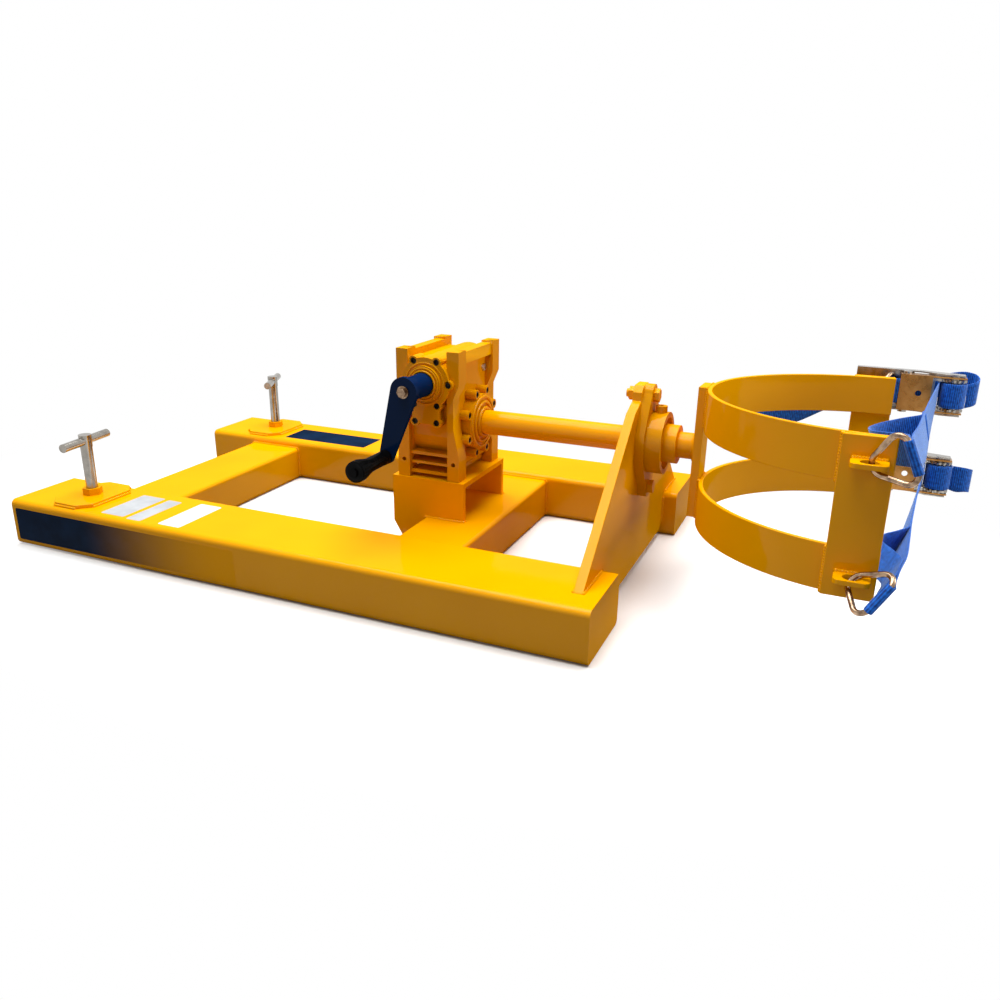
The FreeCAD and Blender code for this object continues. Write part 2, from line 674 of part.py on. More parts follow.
def build_gearbox():
    """Casing, covers, bearings, worm wheel, screws and plugs of the worm gearbox."""
    x, base, worm, axis = "gearbox_x", "gearbox_base", "worm_height", "shaft_height"
    core = box("casing_core", (f"{x} - casing_length / 2", "-casing_width / 2", f"{base} + casing_lift"),
               ("casing_length", "casing_width", "casing_height"))
    solids = [core] + build_columns()
    across = "(foot_reach - foot_length) / 2"
    for rib in range(3):
        solids.append(box("casing_rib", (f"{x} - foot_reach / 2 + foot_length - overrun",
                                         "-foot_span / 2 + rib_thickness",
                                         f"{base} + rib_rise + {rib} * rib_pitch"),
                          ("foot_reach - 2 * foot_length + 2 * overrun", "foot_span - 2 * rib_thickness",
                           "rib_thickness")))
    solids.append(rod("worm_boss", (x, "-worm_face", worm), "y", "worm_boss_radius", "foot_span"))
    solids.append(rod("output_boss", (f"{x} - output_face", "0", axis), "x", "output_boss_radius",
                      "output_boss_span"))
    solids.append(box("cover_pad", (f"{x} - cover_tail_width / 2", "-worm_face", f"{worm} - cover_tail_drop"),
                      ("cover_tail_width", "worm_face - casing_width / 2 + overrun", "cover_tail_drop")))
    input_count = int(size("input_screw_count"))
    output_count = int(size("output_screw_count"))
    input_spots = screw_ring((x, worm), "input_screw_circle", input_count)
    for sign in "+-":
        input_spots.append((f"{x} {sign} tail_screw_spread", f"{worm} - tail_screw_drop"))
    output_spots = screw_ring(("0", axis), "output_screw_circle", output_count, HALF_SHARE)
    solids += [rod("input_ear", along("y", "-worm_face", spot), "y", "ear_radius", "ear_depth")
               for spot in input_spots]
    solids += [rod("output_ear", along("x", f"{x} - output_face", spot), "x", "ear_radius",
                   "output_boss_span") for spot in output_spots]
    tools = [
        rod("wheel_cavity", (f"{x} - wheel_room_width / 2", "0", axis), "x",
            "wheel_pitch_radius + gear_module + wheel_room", "wheel_room_width"),
        rod("output_bore", (f"{x} - output_face - overrun", "0", axis), "x", "wheel_bearing_radius",
            "output_boss_span + 2 * overrun"),
        rod("worm_bore", (x, "-worm_face - overrun", worm), "y", "worm_bearing_radius",
            "foot_span + 2 * overrun"),
    ]
    for fx, fy in foot_places():
        tools.append(rod("foot_tap", (fx, fy, f"{base} - overrun"), "z", "foot_bolt_radius",
                         "foot_bolt_length - bracket_thickness + overrun"))
    for i in "+-":
        for low in ("-foot_span / 2 - overrun", "foot_span / 2 - foot_hole_depth"):
            tools.append(rod("foot_side_hole", (f"{x} {i} {across}", low, f"{base} + foot_hole_rise"), "y",
                             "foot_hole_radius", "foot_hole_depth + overrun"))
    faces = {"input": "-input_face", "front": f"{x} + output_face + cover_thickness",
             "rear": f"{x} - output_face - cover_thickness"}
    input_screws = cover_screws("input_screw", input_spots, "y", faces["input"], "+")
    front_screws = cover_screws("front_screw", output_spots, "x", faces["front"], "-")
    rear_screws = cover_screws("rear_screw", output_spots, "x", faces["rear"], "+")
    plug_low = f"{x} + casing_length / 2 + oil_plug_stand - oil_plug_length"
    plugs = [rod("oil_plug", (plug_low, "oil_plug_aside", height), "x", "oil_plug_radius", "oil_plug_length")
             for height in (f"{worm} + upper_plug_rise", f"{axis} - lower_plug_drop")]
    screws = input_screws + front_screws + rear_screws
    casing = cut("casing_cut", fuse("casing", *solids), *(tools + screws + plugs))
    node("gearbox_casing", casing)
    lids = [rod("input_disc", (x, "-input_face", worm), "y", "worm_boss_radius", "cover_thickness"),
            rod("input_ring", (x, "-input_face - input_ring_rise", worm), "y", "input_ring_radius",
                "input_ring_rise + overrun"),
            box("input_tail", (f"{x} - cover_tail_width / 2", "-input_face", f"{worm} - cover_tail_drop"),
                ("cover_tail_width", "cover_thickness", "cover_tail_drop"))]
    lids += [rod("input_lid_ear", along("y", "-input_face", spot), "y", "ear_radius", "cover_thickness")
             for spot in input_spots]
    hole = rod("input_opening", (x, "-input_face - input_ring_rise - overrun", worm), "y",
               "input_shaft_radius + running_gap", "cover_thickness + input_ring_rise + 2 * overrun")
    node("input_cover", cut("input_cover_cut", fuse("input_cover_blank", *lids), hole, *input_screws))
    covers = []
    for side, start, blanks in (("front", f"{x} + output_face", front_screws),
                                ("rear", f"{x} - output_face - cover_thickness", rear_screws)):
        disc = rod(f"{side}_cover_disc", (start, "0", axis), "x", "output_boss_radius", "cover_thickness")
        ears = [rod(f"{side}_cover_ear", along("x", start, spot), "x", "ear_radius", "cover_thickness")
                for spot in output_spots]
        eye = rod(f"{side}_cover_eye", (f"{start} - overrun", "0", axis), "x",
                  "shaft_diameter / 2 + running_gap", "cover_thickness + 2 * overrun")
        covers.append(cut(f"{side}_cover", fuse(f"{side}_cover_blank", disc, *ears), eye, *blanks))
    covers.append(rod("worm_end_cap", (x, "worm_face", worm), "y", "end_cap_radius", "end_cap_thickness"))
    node("gearbox_covers", group("covers", *covers))
    finished = socketed("input_socket", input_screws, input_spots, "y", faces["input"], "+")
    finished += socketed("front_socket", front_screws, output_spots, "x", faces["front"], "-")
    finished += socketed("rear_socket", rear_screws, output_spots, "x", faces["rear"], "+")
    node("cover_screws", group("cover_screw_group", *finished))
    node("oil_plugs", group("plugs", *plugs))
    worm_bearings = []
    for start in ("-worm_face", "worm_face - worm_bearing_width"):
        ring = rod("worm_bearing_ring", (x, start, worm), "y", "worm_bearing_radius", "worm_bearing_width")
        eye = rod("worm_bearing_eye", (x, f"{start} - overrun", worm), "y",
                  "worm_journal_radius + running_gap", "worm_bearing_width + 2 * overrun")
        worm_bearings.append(cut("worm_bearing", ring, eye))
    node("worm_bearings", group("worm_bearing_pair", *worm_bearings))
    wheel_bearings = []
    for start in (f"{x} - output_face", f"{x} + output_face - wheel_bearing_width"):
        ring = rod("wheel_bearing_ring", (start, "0", axis), "x", "wheel_bearing_radius",
                   "wheel_bearing_width")
        eye = rod("wheel_bearing_eye", (f"{start} - overrun", "0", axis), "x",
                  "wheel_hub_radius + running_gap", "wheel_bearing_width + 2 * overrun")
        wheel_bearings.append(cut("wheel_bearing", ring, eye))
    node("wheel_bearings", group("wheel_bearing_pair", *wheel_bearings))
    bolts = []
    for fx, fy in foot_places():
        shank = rod("foot_bolt_shank", (fx, fy, f"{base} - bracket_thickness"), "z", "foot_bolt_radius",
                    "foot_bolt_length")
        head = hexagon("foot_bolt_hex", (fx, fy, f"{base} - bracket_thickness - foot_bolt_head"), "z",
                       "foot_bolt_head_radius", "foot_bolt_head")
        bolts.append(fuse("foot_bolt", shank, head))
    node("gearbox_bolts", group("foot_bolts", *bolts))


def hexagon(name, start, axis, radius, height):
    """Return a hexagonal prism, radius being across its corners' circle."""
    item = DOC.addObject("Part::Prism", name)
    item.Polygon = 6
    item.Placement = Placement(Vector(), AXIS_TURN[axis])
    bind(item, (("Circumradius", radius), ("Height", height)))
    place(item, start)
    return item


def toothed_wire(x, turn):
    """Return the wheel's tooth outline at one place along the shaft, turned by an angle."""
    module = size("gear_module")
    teeth = int(size("wheel_teeth"))
    pitch = size("wheel_pitch_radius")
    slope = math.tan(math.radians(size("pressure_angle")))
    tip, root = pitch + module, pitch - module - size("mesh_gap")
    half_pitch = math.pi * module / 4 - size("mesh_gap") / 2
    points = []
    for tooth in range(teeth):
        middle = 2 * math.pi * (tooth + HALF_SHARE) / teeth + math.radians(turn)
        for radius, side in ((root, -1), (tip, -1), (tip, 1), (root, 1)):
            half = (half_pitch - (radius - pitch) * slope) / radius
            angle = middle + side * half
            points.append(Vector(x, -radius * math.sin(angle),
                                 size("shaft_height") + radius * math.cos(angle)))
    return Part.makePolygon(points + points[:1])


def build_worm_wheel():
    """Wheel with slanting teeth on a long hub, keyed to the drive shaft."""
    x = size("gearbox_x")
    half = size("wheel_width") / 2
    lead = math.pi * size("gear_module")
    slant = math.atan(lead / (math.pi * size("worm_pitch")))
    turn = math.degrees(half * math.tan(slant) / size("wheel_pitch_radius"))
    rim = Part.makeLoft([toothed_wire(x - half, -turn), toothed_wire(x + half, turn)], True, True)
    hub = rod("wheel_hub", ("gearbox_x - output_face", "0", "shaft_height"), "x", "wheel_hub_radius",
              "output_boss_span")
    bore = rod("wheel_bore", ("gearbox_x - output_face - overrun", "0", "shaft_height"), "x",
               "shaft_diameter / 2", "output_boss_span + 2 * overrun")
    key = box("key_blank", ("gearbox_x - key_length / 2", "-key_width / 2",
                            "shaft_height + shaft_diameter / 2 - key_height / 2"),
              ("key_length", "key_width", "key_height"))
    node("worm_wheel", cut("worm_wheel_cut", fuse("wheel_blank", solid("wheel_rim", rim), hub), bore, key))
    shaft = rod("shaft_bar", ("shaft_rear", "0", "shaft_height"), "x", "shaft_diameter / 2",
                "spine_rear - shaft_rear")
    node("drive_shaft", cut("shaft_cut", shaft, key))
    node("shaft_key", group("key", key))


def build_worm():
    """Worm with one right-hand thread, with its journals and the input end for the crank."""
    module = size("gear_module")
    lead = math.pi * module
    pitch = size("worm_pitch") / 2
    gap = size("mesh_gap")
    root = pitch - module - gap
    tip = pitch + module - gap
    slope = math.tan(math.radians(size("pressure_angle")))
    half = lead / 4 - gap
    length = size("worm_length")
    turns = round(length / lead / 2)
    sink = size("overrun")
    helix = Part.makeHelix(lead, 2 * turns * lead, pitch)
    low = half + (pitch - root + sink) * slope
    high = half - (tip - pitch) * slope
    profile = Part.makePolygon([Vector(root - sink, 0, -low), Vector(tip, 0, -high), Vector(tip, 0, high),
                                Vector(root - sink, 0, low), Vector(root - sink, 0, -low)])
    thread = Part.Wire(helix).makePipeShell([profile], True, True)
    core = Part.makeCylinder(root, length, Vector(0, 0, turns * lead - length / 2))
    room = Part.makeCylinder(tip + sink, length - 2 * half, Vector(0, 0, turns * lead - length / 2 + half))
    worm = core.fuse(thread.common(room))
    worm.translate(Vector(0, 0, -turns * lead))
    worm.rotate(Vector(), Vector(0, 0, 1), 90)
    worm.Placement = Placement(Vector(size("gearbox_x"), 0, size("worm_height")),
                               Rotation(Vector(1, 0, 0), -90)).multiply(worm.Placement)
    journal = rod("worm_journal", ("gearbox_x", "-worm_face", "worm_height"), "y", "worm_journal_radius",
                  "foot_span")
    stub = rod("worm_input", ("gearbox_x", "-crank_start - input_shaft_depth", "worm_height"), "y",
               "input_shaft_radius", "crank_start + input_shaft_depth - worm_face + overrun")
    tap = rod("worm_tap", ("gearbox_x", "-crank_start - input_shaft_depth - overrun", "worm_height"), "y",
              "crank_bolt_radius", "input_shaft_depth / 2 + overrun")
    node("worm_shaft", cut("worm_cut", fuse("worm_blank", solid("worm_thread", worm), journal, stub), tap))


def build_bearing():
    """Two-bolt flange bearing on the front plate, with its bolts and nuts."""
    half = "flange_bolt_spacing / 2"
    tip = f"flange_tip_radius * {FLANGE_TIP_SHARE}"
    outline = (
        (tip, f"shaft_height + {half} + {tip}"),
        ("flange_width / 2", f"shaft_height + flange_width * {FLANGE_FLAT_SHARE}"),
        ("flange_width / 2", f"shaft_height - flange_width * {FLANGE_FLAT_SHARE}"),
        (tip, f"shaft_height - {half} - {tip}"),
    )
    mirror = [(f"-({across})", up) for across, up in reversed(outline)]
    blank = plate("flange_blank", "YZ_Plane", list(outline) + mirror, "plate_front", "flange_thickness")
    pieces = [blank, rod("housing_boss", ("plate_front", "0", "shaft_height"), "x", "housing_radius",
                         "flange_thickness + housing_length")]
    holes = [rod("housing_bore", ("plate_front - overrun", "0", "shaft_height"), "x", "bearing_outer_radius",
                 "flange_thickness + housing_length + 2 * overrun")]
    bolts, nuts = [], []
    for sign in "+-":
        height = f"shaft_height {sign} {half}"
        pieces.append(rod("flange_tip", ("plate_front", "0", height), "x", "flange_tip_radius",
                          "flange_thickness"))
        holes.append(rod("flange_hole", ("plate_front - overrun", "0", height), "x",
                         "flange_bolt_radius + flange_hole_gap", "flange_thickness + 2 * overrun"))
        shank = rod("flange_bolt_shank", ("plate_start - nut_height - bolt_tail", "0", height), "x",
                    "flange_bolt_radius",
                    "plate_thickness + flange_thickness + nut_height + bolt_tail + overrun")
        head = hexagon("flange_bolt_hex", ("plate_front + flange_thickness", "0", height), "x",
                       "bolt_head_radius", "bolt_head")
        bolts.append(fuse("flange_bolt", shank, head))
        nut = hexagon("flange_nut_hex", ("plate_start - nut_height", "0", height), "x", "bolt_head_radius",
                      "nut_height")
        eye = rod("flange_nut_eye", ("plate_start - nut_height - overrun", "0", height), "x",
                  "flange_bolt_radius", "nut_height + 2 * overrun")
        nuts.append(cut("flange_nut", nut, eye))
    boss_x = "plate_front + flange_thickness + housing_length / 2"
    pieces.append(rod("grease_boss", (boss_x, "0", "shaft_height + housing_radius - overrun"), "z",
                      "grease_boss_radius", "grease_boss_height + overrun"))
    holes.append(rod("grease_hole", (boss_x, "0", "shaft_height + housing_radius"), "z",
                     "grease_hole_radius", "grease_boss_height + overrun"))
    node("bearing_housing", cut("housing_cut", fuse("housing", *pieces), *holes))
    node("flange_bolts", group("flange_bolt_pair", *bolts))
    node("flange_nuts", group("flange_nut_pair", *nuts))
    for label, width, inner, outer in (
            ("bearing_outer_ring", "bearing_outer_width", "bearing_race_radius + running_gap",
             "bearing_outer_radius"),
            ("bearing_inner_ring", "bearing_inner_width", "shaft_diameter / 2", "bearing_race_radius")):
        start = "bearing_middle - bearing_outer_width / 2"
        ring = rod(label + "_blank", (start, "0", "shaft_height"), "x", outer, width)
        eye = rod(label + "_eye", (f"{start} - overrun", "0", "shaft_height"), "x", inner,
                  f"{width} + 2 * overrun")
        node(label, cut(label + "_cut", ring, eye))


def build_clamp():
    """Spine, hoops, end plates and strap lugs of the drum clamp."""
    spine = box("spine", ("spine_rear", "-spine_width / 2", "clamp_bottom"),
                ("spine_thickness", "spine_width", "clamp_height"))
    turned("spine_plate", spine)
    for side, sign in (("upper", "+"), ("lower", "-")):
        low = f"clamp_middle {sign} hoop_spacing / 2 - hoop_height / 2"
        outer = rod(f"{side}_hoop_outer", ("hoop_x", "0", low), "z", "hoop_outer", "hoop_height")
        inner = rod(f"{side}_hoop_inner", ("hoop_x", "0", f"{low} - overrun"), "z", "hoop_radius",
                    "hoop_height + 2 * overrun")
        front = box(f"{side}_hoop_front", ("hoop_x", "-hoop_outer - overrun", f"{low} - overrun"),
                    ("hoop_outer + overrun", "2 * hoop_outer + 2 * overrun", "hoop_height + 2 * overrun"))
        legs = [box(f"{side}_hoop_leg", ("hoop_x", y, low), ("hoop_leg", "hoop_thickness", "hoop_height"))
                for y in ("-hoop_outer", "hoop_radius")]
        arc = cut(f"{side}_hoop_arc", outer, inner, front)
        turned(f"{side}_hoop", fuse(f"{side}_hoop_bent", arc, *legs))
    ends, lugs = [], []
    for y, lug_y, hole_y in (("-end_plate_face", "-end_plate_face - lug_depth", "-lug_hole_y"),
                             ("hoop_outer", "end_plate_face", "lug_hole_y")):
        ends.append(box("end_plate", ("end_plate_front - end_plate_width", y, "clamp_bottom"),
                        ("end_plate_width", "end_plate_thickness", "clamp_height")))
        for sign in "+-":
            middle = f"clamp_middle {sign} hoop_spacing / 2"
            lug = box("lug_blank", ("lug_start", lug_y, f"{middle} - lug_thickness / 2"),
                      ("lug_width", "lug_depth", "lug_thickness"))
            eye = rod("lug_eye", ("lug_hole_x", hole_y, f"{middle} - lug_thickness / 2 - overrun"), "z",
                      "lug_hole_radius", "lug_thickness + 2 * overrun")
            lugs.append(cut("lug", rounded("lug_rounded", lug, "z", "lug_corner"), eye))
    turned("end_plates", group("end_plate_pair", *ends))
    turned("strap_lugs", group("lug_set", *lugs))


def bent_path(points, radii):
    """Return a closed wire through the points, with each corner rounded to its radius."""
    edges, ends = [], []
    count = len(points)
    for i, point in enumerate(points):
        back = (points[i - 1] - point).normalize()
        ahead = (points[(i + 1) % count] - point).normalize()
        half = back.getAngle(ahead) / 2
        cut_back = radii[i] / math.tan(half)
        middle = (back + ahead).normalize() * (radii[i] / math.sin(half) - radii[i])
        start, end = point + back * cut_back, point + ahead * cut_back
        edges.append(Part.Arc(start, point + middle, end).toShape())
        ends.append((start, end))
    for i in range(count):
        edges.append(Part.LineSegment(ends[i][1], ends[(i + 1) % count][0]).toShape())
    return Part.Wire(Part.sortEdges(edges)[0])


def ring_frame(side, level):
    """Return the placement that carries a ring's own frame to its lug hole.

    In its own frame the ring lies in the XZ plane, with its apex bend at the origin and its
    bar ahead along +X.
    """
    sign = 1 if side == "far" else -1
    if side == "far":
        yaw, lift, roll = size("far_ring_yaw"), 0.0, 0.0
    else:
        yaw, lift, roll = (size(f"{level}_ring_{word}") for word in ("yaw", "lift", "roll"))
    step = size("hoop_spacing") / 2 * (1 if level == "upper" else -1)
    shift = 0.0 if side == "far" else size(f"{level}_ring_shift")
    spot = Vector(size("lug_hole_x"), sign * size("lug_hole_y"), size("clamp_middle") + step + shift)
    turn = Rotation(Vector(0, 0, 1), yaw)
    turn = turn.multiply(Rotation(Vector(0, 1, 0), -lift)).multiply(Rotation(Vector(1, 0, 0), roll))
    seat = size("far_ring_seat") if side == "far" else size(f"{level}_ring_seat")
    return Placement(spot + turn.multVec(Vector(seat, 0, 0)), turn)


def build_rings():
    """Four bent wire rings that join the webbing to the lugs."""
    half = size("ring_half_width")
    reach = size("ring_height")
    apex_bend = size("ring_apex_bend")
    apex_half = math.atan(half / reach)
    back = apex_bend / math.sin(apex_half) - apex_bend
    points = [Vector(-back, 0, 0), Vector(reach, 0, half), Vector(reach, 0, -half)]
    path = bent_path(points, [apex_bend, size("ring_corner_bend"), size("ring_corner_bend")])
    section = Part.Wire(Part.makeCircle(size("ring_wire_radius"), Vector(reach, 0, 0), Vector(0, 0, 1)))
    wire = path.makePipeShell([section], True, False)
    for side in ("near", "far"):
        for level in ("upper", "lower"):
            ring = solid(f"{level}_{side}_ring_wire", wire.copy())
            ring.Placement = ring_frame(side, level)
            turned(f"{level}_{side}_ring", ring)


def slab(middle, wide, thick, width, thickness):
    """Return a rectangular wire round middle, width along wide and thickness along thick."""
    corners = [middle + wide * (i * width / 2) + thick * (j * thickness / 2)
               for i, j in ((-1, -1), (1, -1), (1, 1), (-1, 1))]
    return Part.makePolygon(corners + corners[:1])


def level_height(level):
    """Return the height of one hoop's middle."""
    return size("clamp_middle") + size("hoop_spacing") / 2 * (1 if level == "upper" else -1)


def run_band(level, bar, end, wide, bow, bow_shares):
    """Return webbing along the line from a near ring's bar to the roll, bowed towards -X.

    bow_shares gives places along that line with their share of the bow; the band ends at the last.
    """
    width, thickness = size("webbing_width"), size("webbing_thickness")
    middles = [bar] + [bar + (end - bar) * share - Vector(bow * part, 0, 0) for share, part in bow_shares]
    shares = [0] + [share for share, part in bow_shares]
    sections = []
    for i, middle in enumerate(middles):
        ahead = middles[min(i + 1, len(middles) - 1)] - middles[max(i - 1, 0)]
        upright = (wide * (1 - shares[i]) + Vector(0, 0, 1) * shares[i]).normalize()
        thick = upright.cross(ahead).normalize()
        sections.append(slab(middle, upright, thick, width, thickness))
    if shares[-1] == 1:
        sections[-1] = slab(end, Vector(0, 0, 1), Vector(1, 0, 0), width, thickness)
    return Part.makeLoft(sections, True, True)


def strap_run(level):
    """Return the webbing from the near ring's bar across to the roll on the far ratchet.

    Its near end is a long sewn loop round the bar, whose outer layer is taut and whose inner
    layer hangs slack towards the hoop.
    """
    width, thickness = size("webbing_width"), size("webbing_thickness")
    ring = ring_frame("near", level)
    wide = ring.Rotation.multVec(Vector(0, 0, 1))
    bar = ring.multVec(Vector(size("ring_height"), 0, 0))
    end = Vector(size("spool_x") - size("roll_outer") - size("soft_gap") - thickness / 2,
                 size("ratchet_y"), level_height(level))
    inner = size("ring_wire_radius") + size("running_gap")
    sleeve = Part.makeCylinder(inner + thickness, width, bar - wide * (width / 2), wide)
    room = Part.makeCylinder(inner, width * 2, bar - wide * width, wide)
    taut = run_band(level, bar, end, wide, size(f"{level}_strap_bow"), STRAP_BOW_SHARES + ((1, 0),))
    slack = run_band(level, bar, end, wide, size(f"{level}_loop_bow"), LOOP_BOW_SHARES[level])
    return sleeve.fuse([taut, slack]).cut(room).removeSplitter()


def band_along(points, width, thickness):
    """Return upright webbing that follows the points, its width along Z."""
    sections = []
    for i, point in enumerate(points):
        ahead = points[min(i + 1, len(points) - 1)] - points[max(i - 1, 0)]
        across = Vector(-ahead.y, ahead.x, 0).normalize()
        sections.append(slab(point, Vector(0, 0, 1), across, width, thickness))
    return Part.makeLoft(sections, True, True)


def strap_tail(level):
    """Return the loose end of the webbing: a bight ahead of the roll and a run back outside the handle."""
    bend, lead, rise, run, sag, drift = (
        size("tail_bend_radius") if word == "bend" else size(f"{level}_tail_{word}")
        for word in ("bend", "lead", "rise", "run", "sag", "drift"))
    height = level_height(level)
    start_x = size("spool_x") + size("roll_outer") - size("webbing_pitch") / 2 + size("soft_gap")
    start_y = size("ratchet_y")
    front = start_x + lead
    points = [Vector(start_x, start_y, height)]
    steps = 8
    for i in range(1, steps + 1):
        angle = -math.pi / 2 + math.pi * i / steps
        points.append(Vector(front + bend * math.cos(angle), start_y + bend + bend * math.sin(angle),
                             height + rise * i / steps))
    outer_y = start_y + 2 * bend
    for share, drifted, sagged in TAIL_SHARES:
        points.append(Vector(front - run * share, outer_y - drift * drifted,
                             height + rise * (1 - share) - sag * sagged))
    return band_along(points, size("webbing_width"), size("webbing_thickness"))


def build_straps():
    """Webbing: two runs, their tails, and the short loops that anchor the ratchets."""
    for level in ("upper", "lower"):
        pieces = [solid(f"{level}_run", strap_run(level)), solid(f"{level}_tail", strap_tail(level))]
        turned(f"{level}_strap", group(f"{level}_webbing", *pieces))
    loops = []
    thickness = size("webbing_thickness")
    gap = size("running_gap")
    spots = [(size("ring_bar_x"), size("ring_wire_radius") + gap), (size("anchor_x"),
                                                                   size("anchor_bolt_radius") + gap)]
    for level in ("upper", "lower"):
        low = level_height(level) - size("webbing_width") / 2
        skins = []
        for grow in (thickness, 0):
            discs = [Part.makeCylinder(r + grow, size("webbing_width"), Vector(x, size("ratchet_y"), low))
                     for x, r in spots]
            radius = min(r for x, r in spots) + grow
            bridge = Part.makeBox(spots[1][0] - spots[0][0], 2 * radius, size("webbing_width"),
                                  Vector(spots[0][0], size("ratchet_y") - radius, low))
            skins.append(discs[0].fuse([discs[1], bridge]))
        loops.append(solid(f"{level}_loop", skins[0].cut(skins[1]).removeSplitter()))
    turned("anchor_loops", group("loop_pair", *loops))


def webbing_roll(level):
    """Return webbing wound on a spool as one spiral of half turns, about the spool's axis."""
    thickness, pitch = size("webbing_thickness"), size("webbing_pitch")
    centre = Vector(size("spool_x"), size("ratchet_y"), level_height(level) - size("webbing_width") / 2)
    halves = 2 * int(size("webbing_turns"))
    edges = {1: [], -1: []}
    ends = {}
    for side in edges:
        for i in range(halves):
            shift = pitch / 4 * (1 if i % 2 == 0 else -1)
            radius = size("roll_inner") + pitch / 4 + pitch / 2 * i + side * thickness / 2
            middle = centre + Vector(-shift, 0, 0)
            way = 1 if i % 2 == 0 else -1
            start = middle + Vector(radius * way, 0, 0)
            top = middle + Vector(0, radius * way, 0)
            end = middle - Vector(radius * way, 0, 0)
            edges[side].append(Part.Arc(start, top, end).toShape())
            ends.setdefault(side, start)
            ends[side, "last"] = end
    caps = [Part.LineSegment(ends[1], ends[-1]).toShape(),
            Part.LineSegment(ends[1, "last"], ends[-1, "last"]).toShape()]
    outline = Part.Wire(Part.sortEdges(edges[1] + edges[-1] + caps)[0])
    outer = [point for edge in edges[1] for point in edge.discretize(24)]
    clear = []
    for turn in range(2, halves):
        inner = edges[-1][turn].discretize(24)
        under = edges[1][turn - 2].discretize(24)
        clear += [(a - b).Length for a in inner for b in under]
    print(level, "roll: least gap between turns", round(min(clear), 2), "mm on", len(outer), "points")
    roll = Part.Face(outline).extrude(Vector(0, 0, size("webbing_width")))
    roll.rotate(centre, Vector(0, 0, 1), 180)
    return roll


def ratchet_teeth_wire(level, low):
    """Return the saw-tooth outline of a ratchet wheel."""
    count = int(size("ratchet_teeth"))
    tip, root = size("ratchet_wheel_radius"), size("ratchet_wheel_radius") - size("ratchet_tooth_depth")
    points = []
    for i in range(count):
        for radius, part in zip((tip, tip, root, root), TOOTH_SHARES):
            angle = math.pi + 2 * math.pi * (i + part - HALF_SHARE) / count
            points.append(Vector(size("spool_x") + radius * math.cos(angle),
                                 size("ratchet_y") + radius * math.sin(angle), low))
    return Part.makePolygon(points + points[:1])


def both_sides(inner, thickness):
    """Return the low ends, about the strap's middle, of a pair of plates at +-inner."""
    return (f"-{inner} - {thickness}", inner)


def build_ratchets():
    """Two ratchet buckles: frame, spool, webbing roll, handle, pawls and anchor bolts."""
    x, y = "spool_x", "ratchet_y"
    anchors = []
    for level, sign in (("upper", "+"), ("lower", "-")):
        middle = f"clamp_middle {sign} hoop_spacing / 2"
        frame_front = f"{x} + frame_lead"
        web = box(f"{level}_frame_web", ("frame_rear", f"{y} - frame_inset", f"{middle} - frame_inner"),
                  (f"{x} - frame_web_front - frame_rear", "steel_thickness", "2 * frame_inner"))
        parts = [web]
        tools = [rod(f"{level}_web_hole",
                     (f"{x} - frame_web_front - anchor_gap", f"{y} - frame_inset - overrun", middle),
                     "y", "frame_hole_radius", "steel_thickness + 2 * overrun")]
        for low in both_sides("frame_inner", "steel_thickness"):
            side_spans = (f"{frame_front} - frame_rear", "frame_inset + frame_outset", "steel_thickness")
            parts.append(box(f"{level}_frame_side", ("frame_rear", f"{y} - frame_inset", f"{middle} + {low}"),
                             side_spans))
            start = f"{middle} + {low} - overrun"
            tools.append(rod(f"{level}_spool_eye", (x, y, start), "z", "spool_journal_radius + running_gap",
                             "steel_thickness + 2 * overrun"))
            tools.append(rod(f"{level}_anchor_eye", ("anchor_x", y, start), "z", "anchor_bolt_radius",
                             "steel_thickness + 2 * overrun"))
        turned(f"{level}_ratchet_frame", cut(f"{level}_frame_cut", fuse(f"{level}_frame", *parts), *tools))
        shank_low = f"{middle} - frame_inner - steel_thickness"
        shank = rod(f"{level}_anchor_shank", ("anchor_x", y, shank_low), "z", "anchor_bolt_radius",
                    "2 * frame_inner + 2 * steel_thickness")
        heads = [rod(f"{level}_anchor_head", ("anchor_x", y, low), "z", "anchor_head_radius", "anchor_head")
                 for low in (f"{middle} + frame_inner + steel_thickness",
                             f"{middle} - frame_inner - steel_thickness - anchor_head")]
        anchors.append(fuse(f"{level}_anchor", shank, *heads))
        build_spool(level, middle)
        build_handle(level, middle)
        build_lock_pawl(level, middle)
    turned("anchor_bolts", group("anchor_bolt_pair", *anchors))


def build_spool(level, middle):
    """Slotted spool with a toothed wheel at each end, and the webbing wound on it."""
    x, y = "spool_x", "ratchet_y"
    reach = "handle_inner + steel_thickness + running_gap"
    journal = rod(f"{level}_journal", (x, y, f"{middle} - ({reach})"), "z", "spool_journal_radius",
                  f"2 * ({reach})")
    barrel = rod(f"{level}_barrel", (x, y, f"{middle} - wheel_inner"), "z", "spool_radius", "2 * wheel_inner")
    parts = [journal, barrel]
    for low in both_sides("wheel_inner", "ratchet_wheel_thickness"):
        sign = -1 if low.startswith("-") else 1
        inner = size("wheel_inner") + (size("ratchet_wheel_thickness") if sign < 0 else 0)
        face = Part.Face(ratchet_teeth_wire(level, level_height(level) + sign * inner))
        wheel = face.extrude(Vector(0, 0, size("ratchet_wheel_thickness")))
        parts.append(solid(f"{level}_toothed_wheel", wheel))
    slot = box(f"{level}_slot", (f"{x} - spool_radius - overrun", f"{y} - spool_slot / 2",
                                 f"{middle} - wheel_inner"),
               ("2 * spool_radius + 2 * overrun", "spool_slot", "2 * wheel_inner"))
    turned(f"{level}_ratchet_spool", cut(f"{level}_spool_cut", fuse(f"{level}_spool", *parts), slot))
    turned(f"{level}_webbing_roll", solid(f"{level}_roll", webbing_roll(level)))


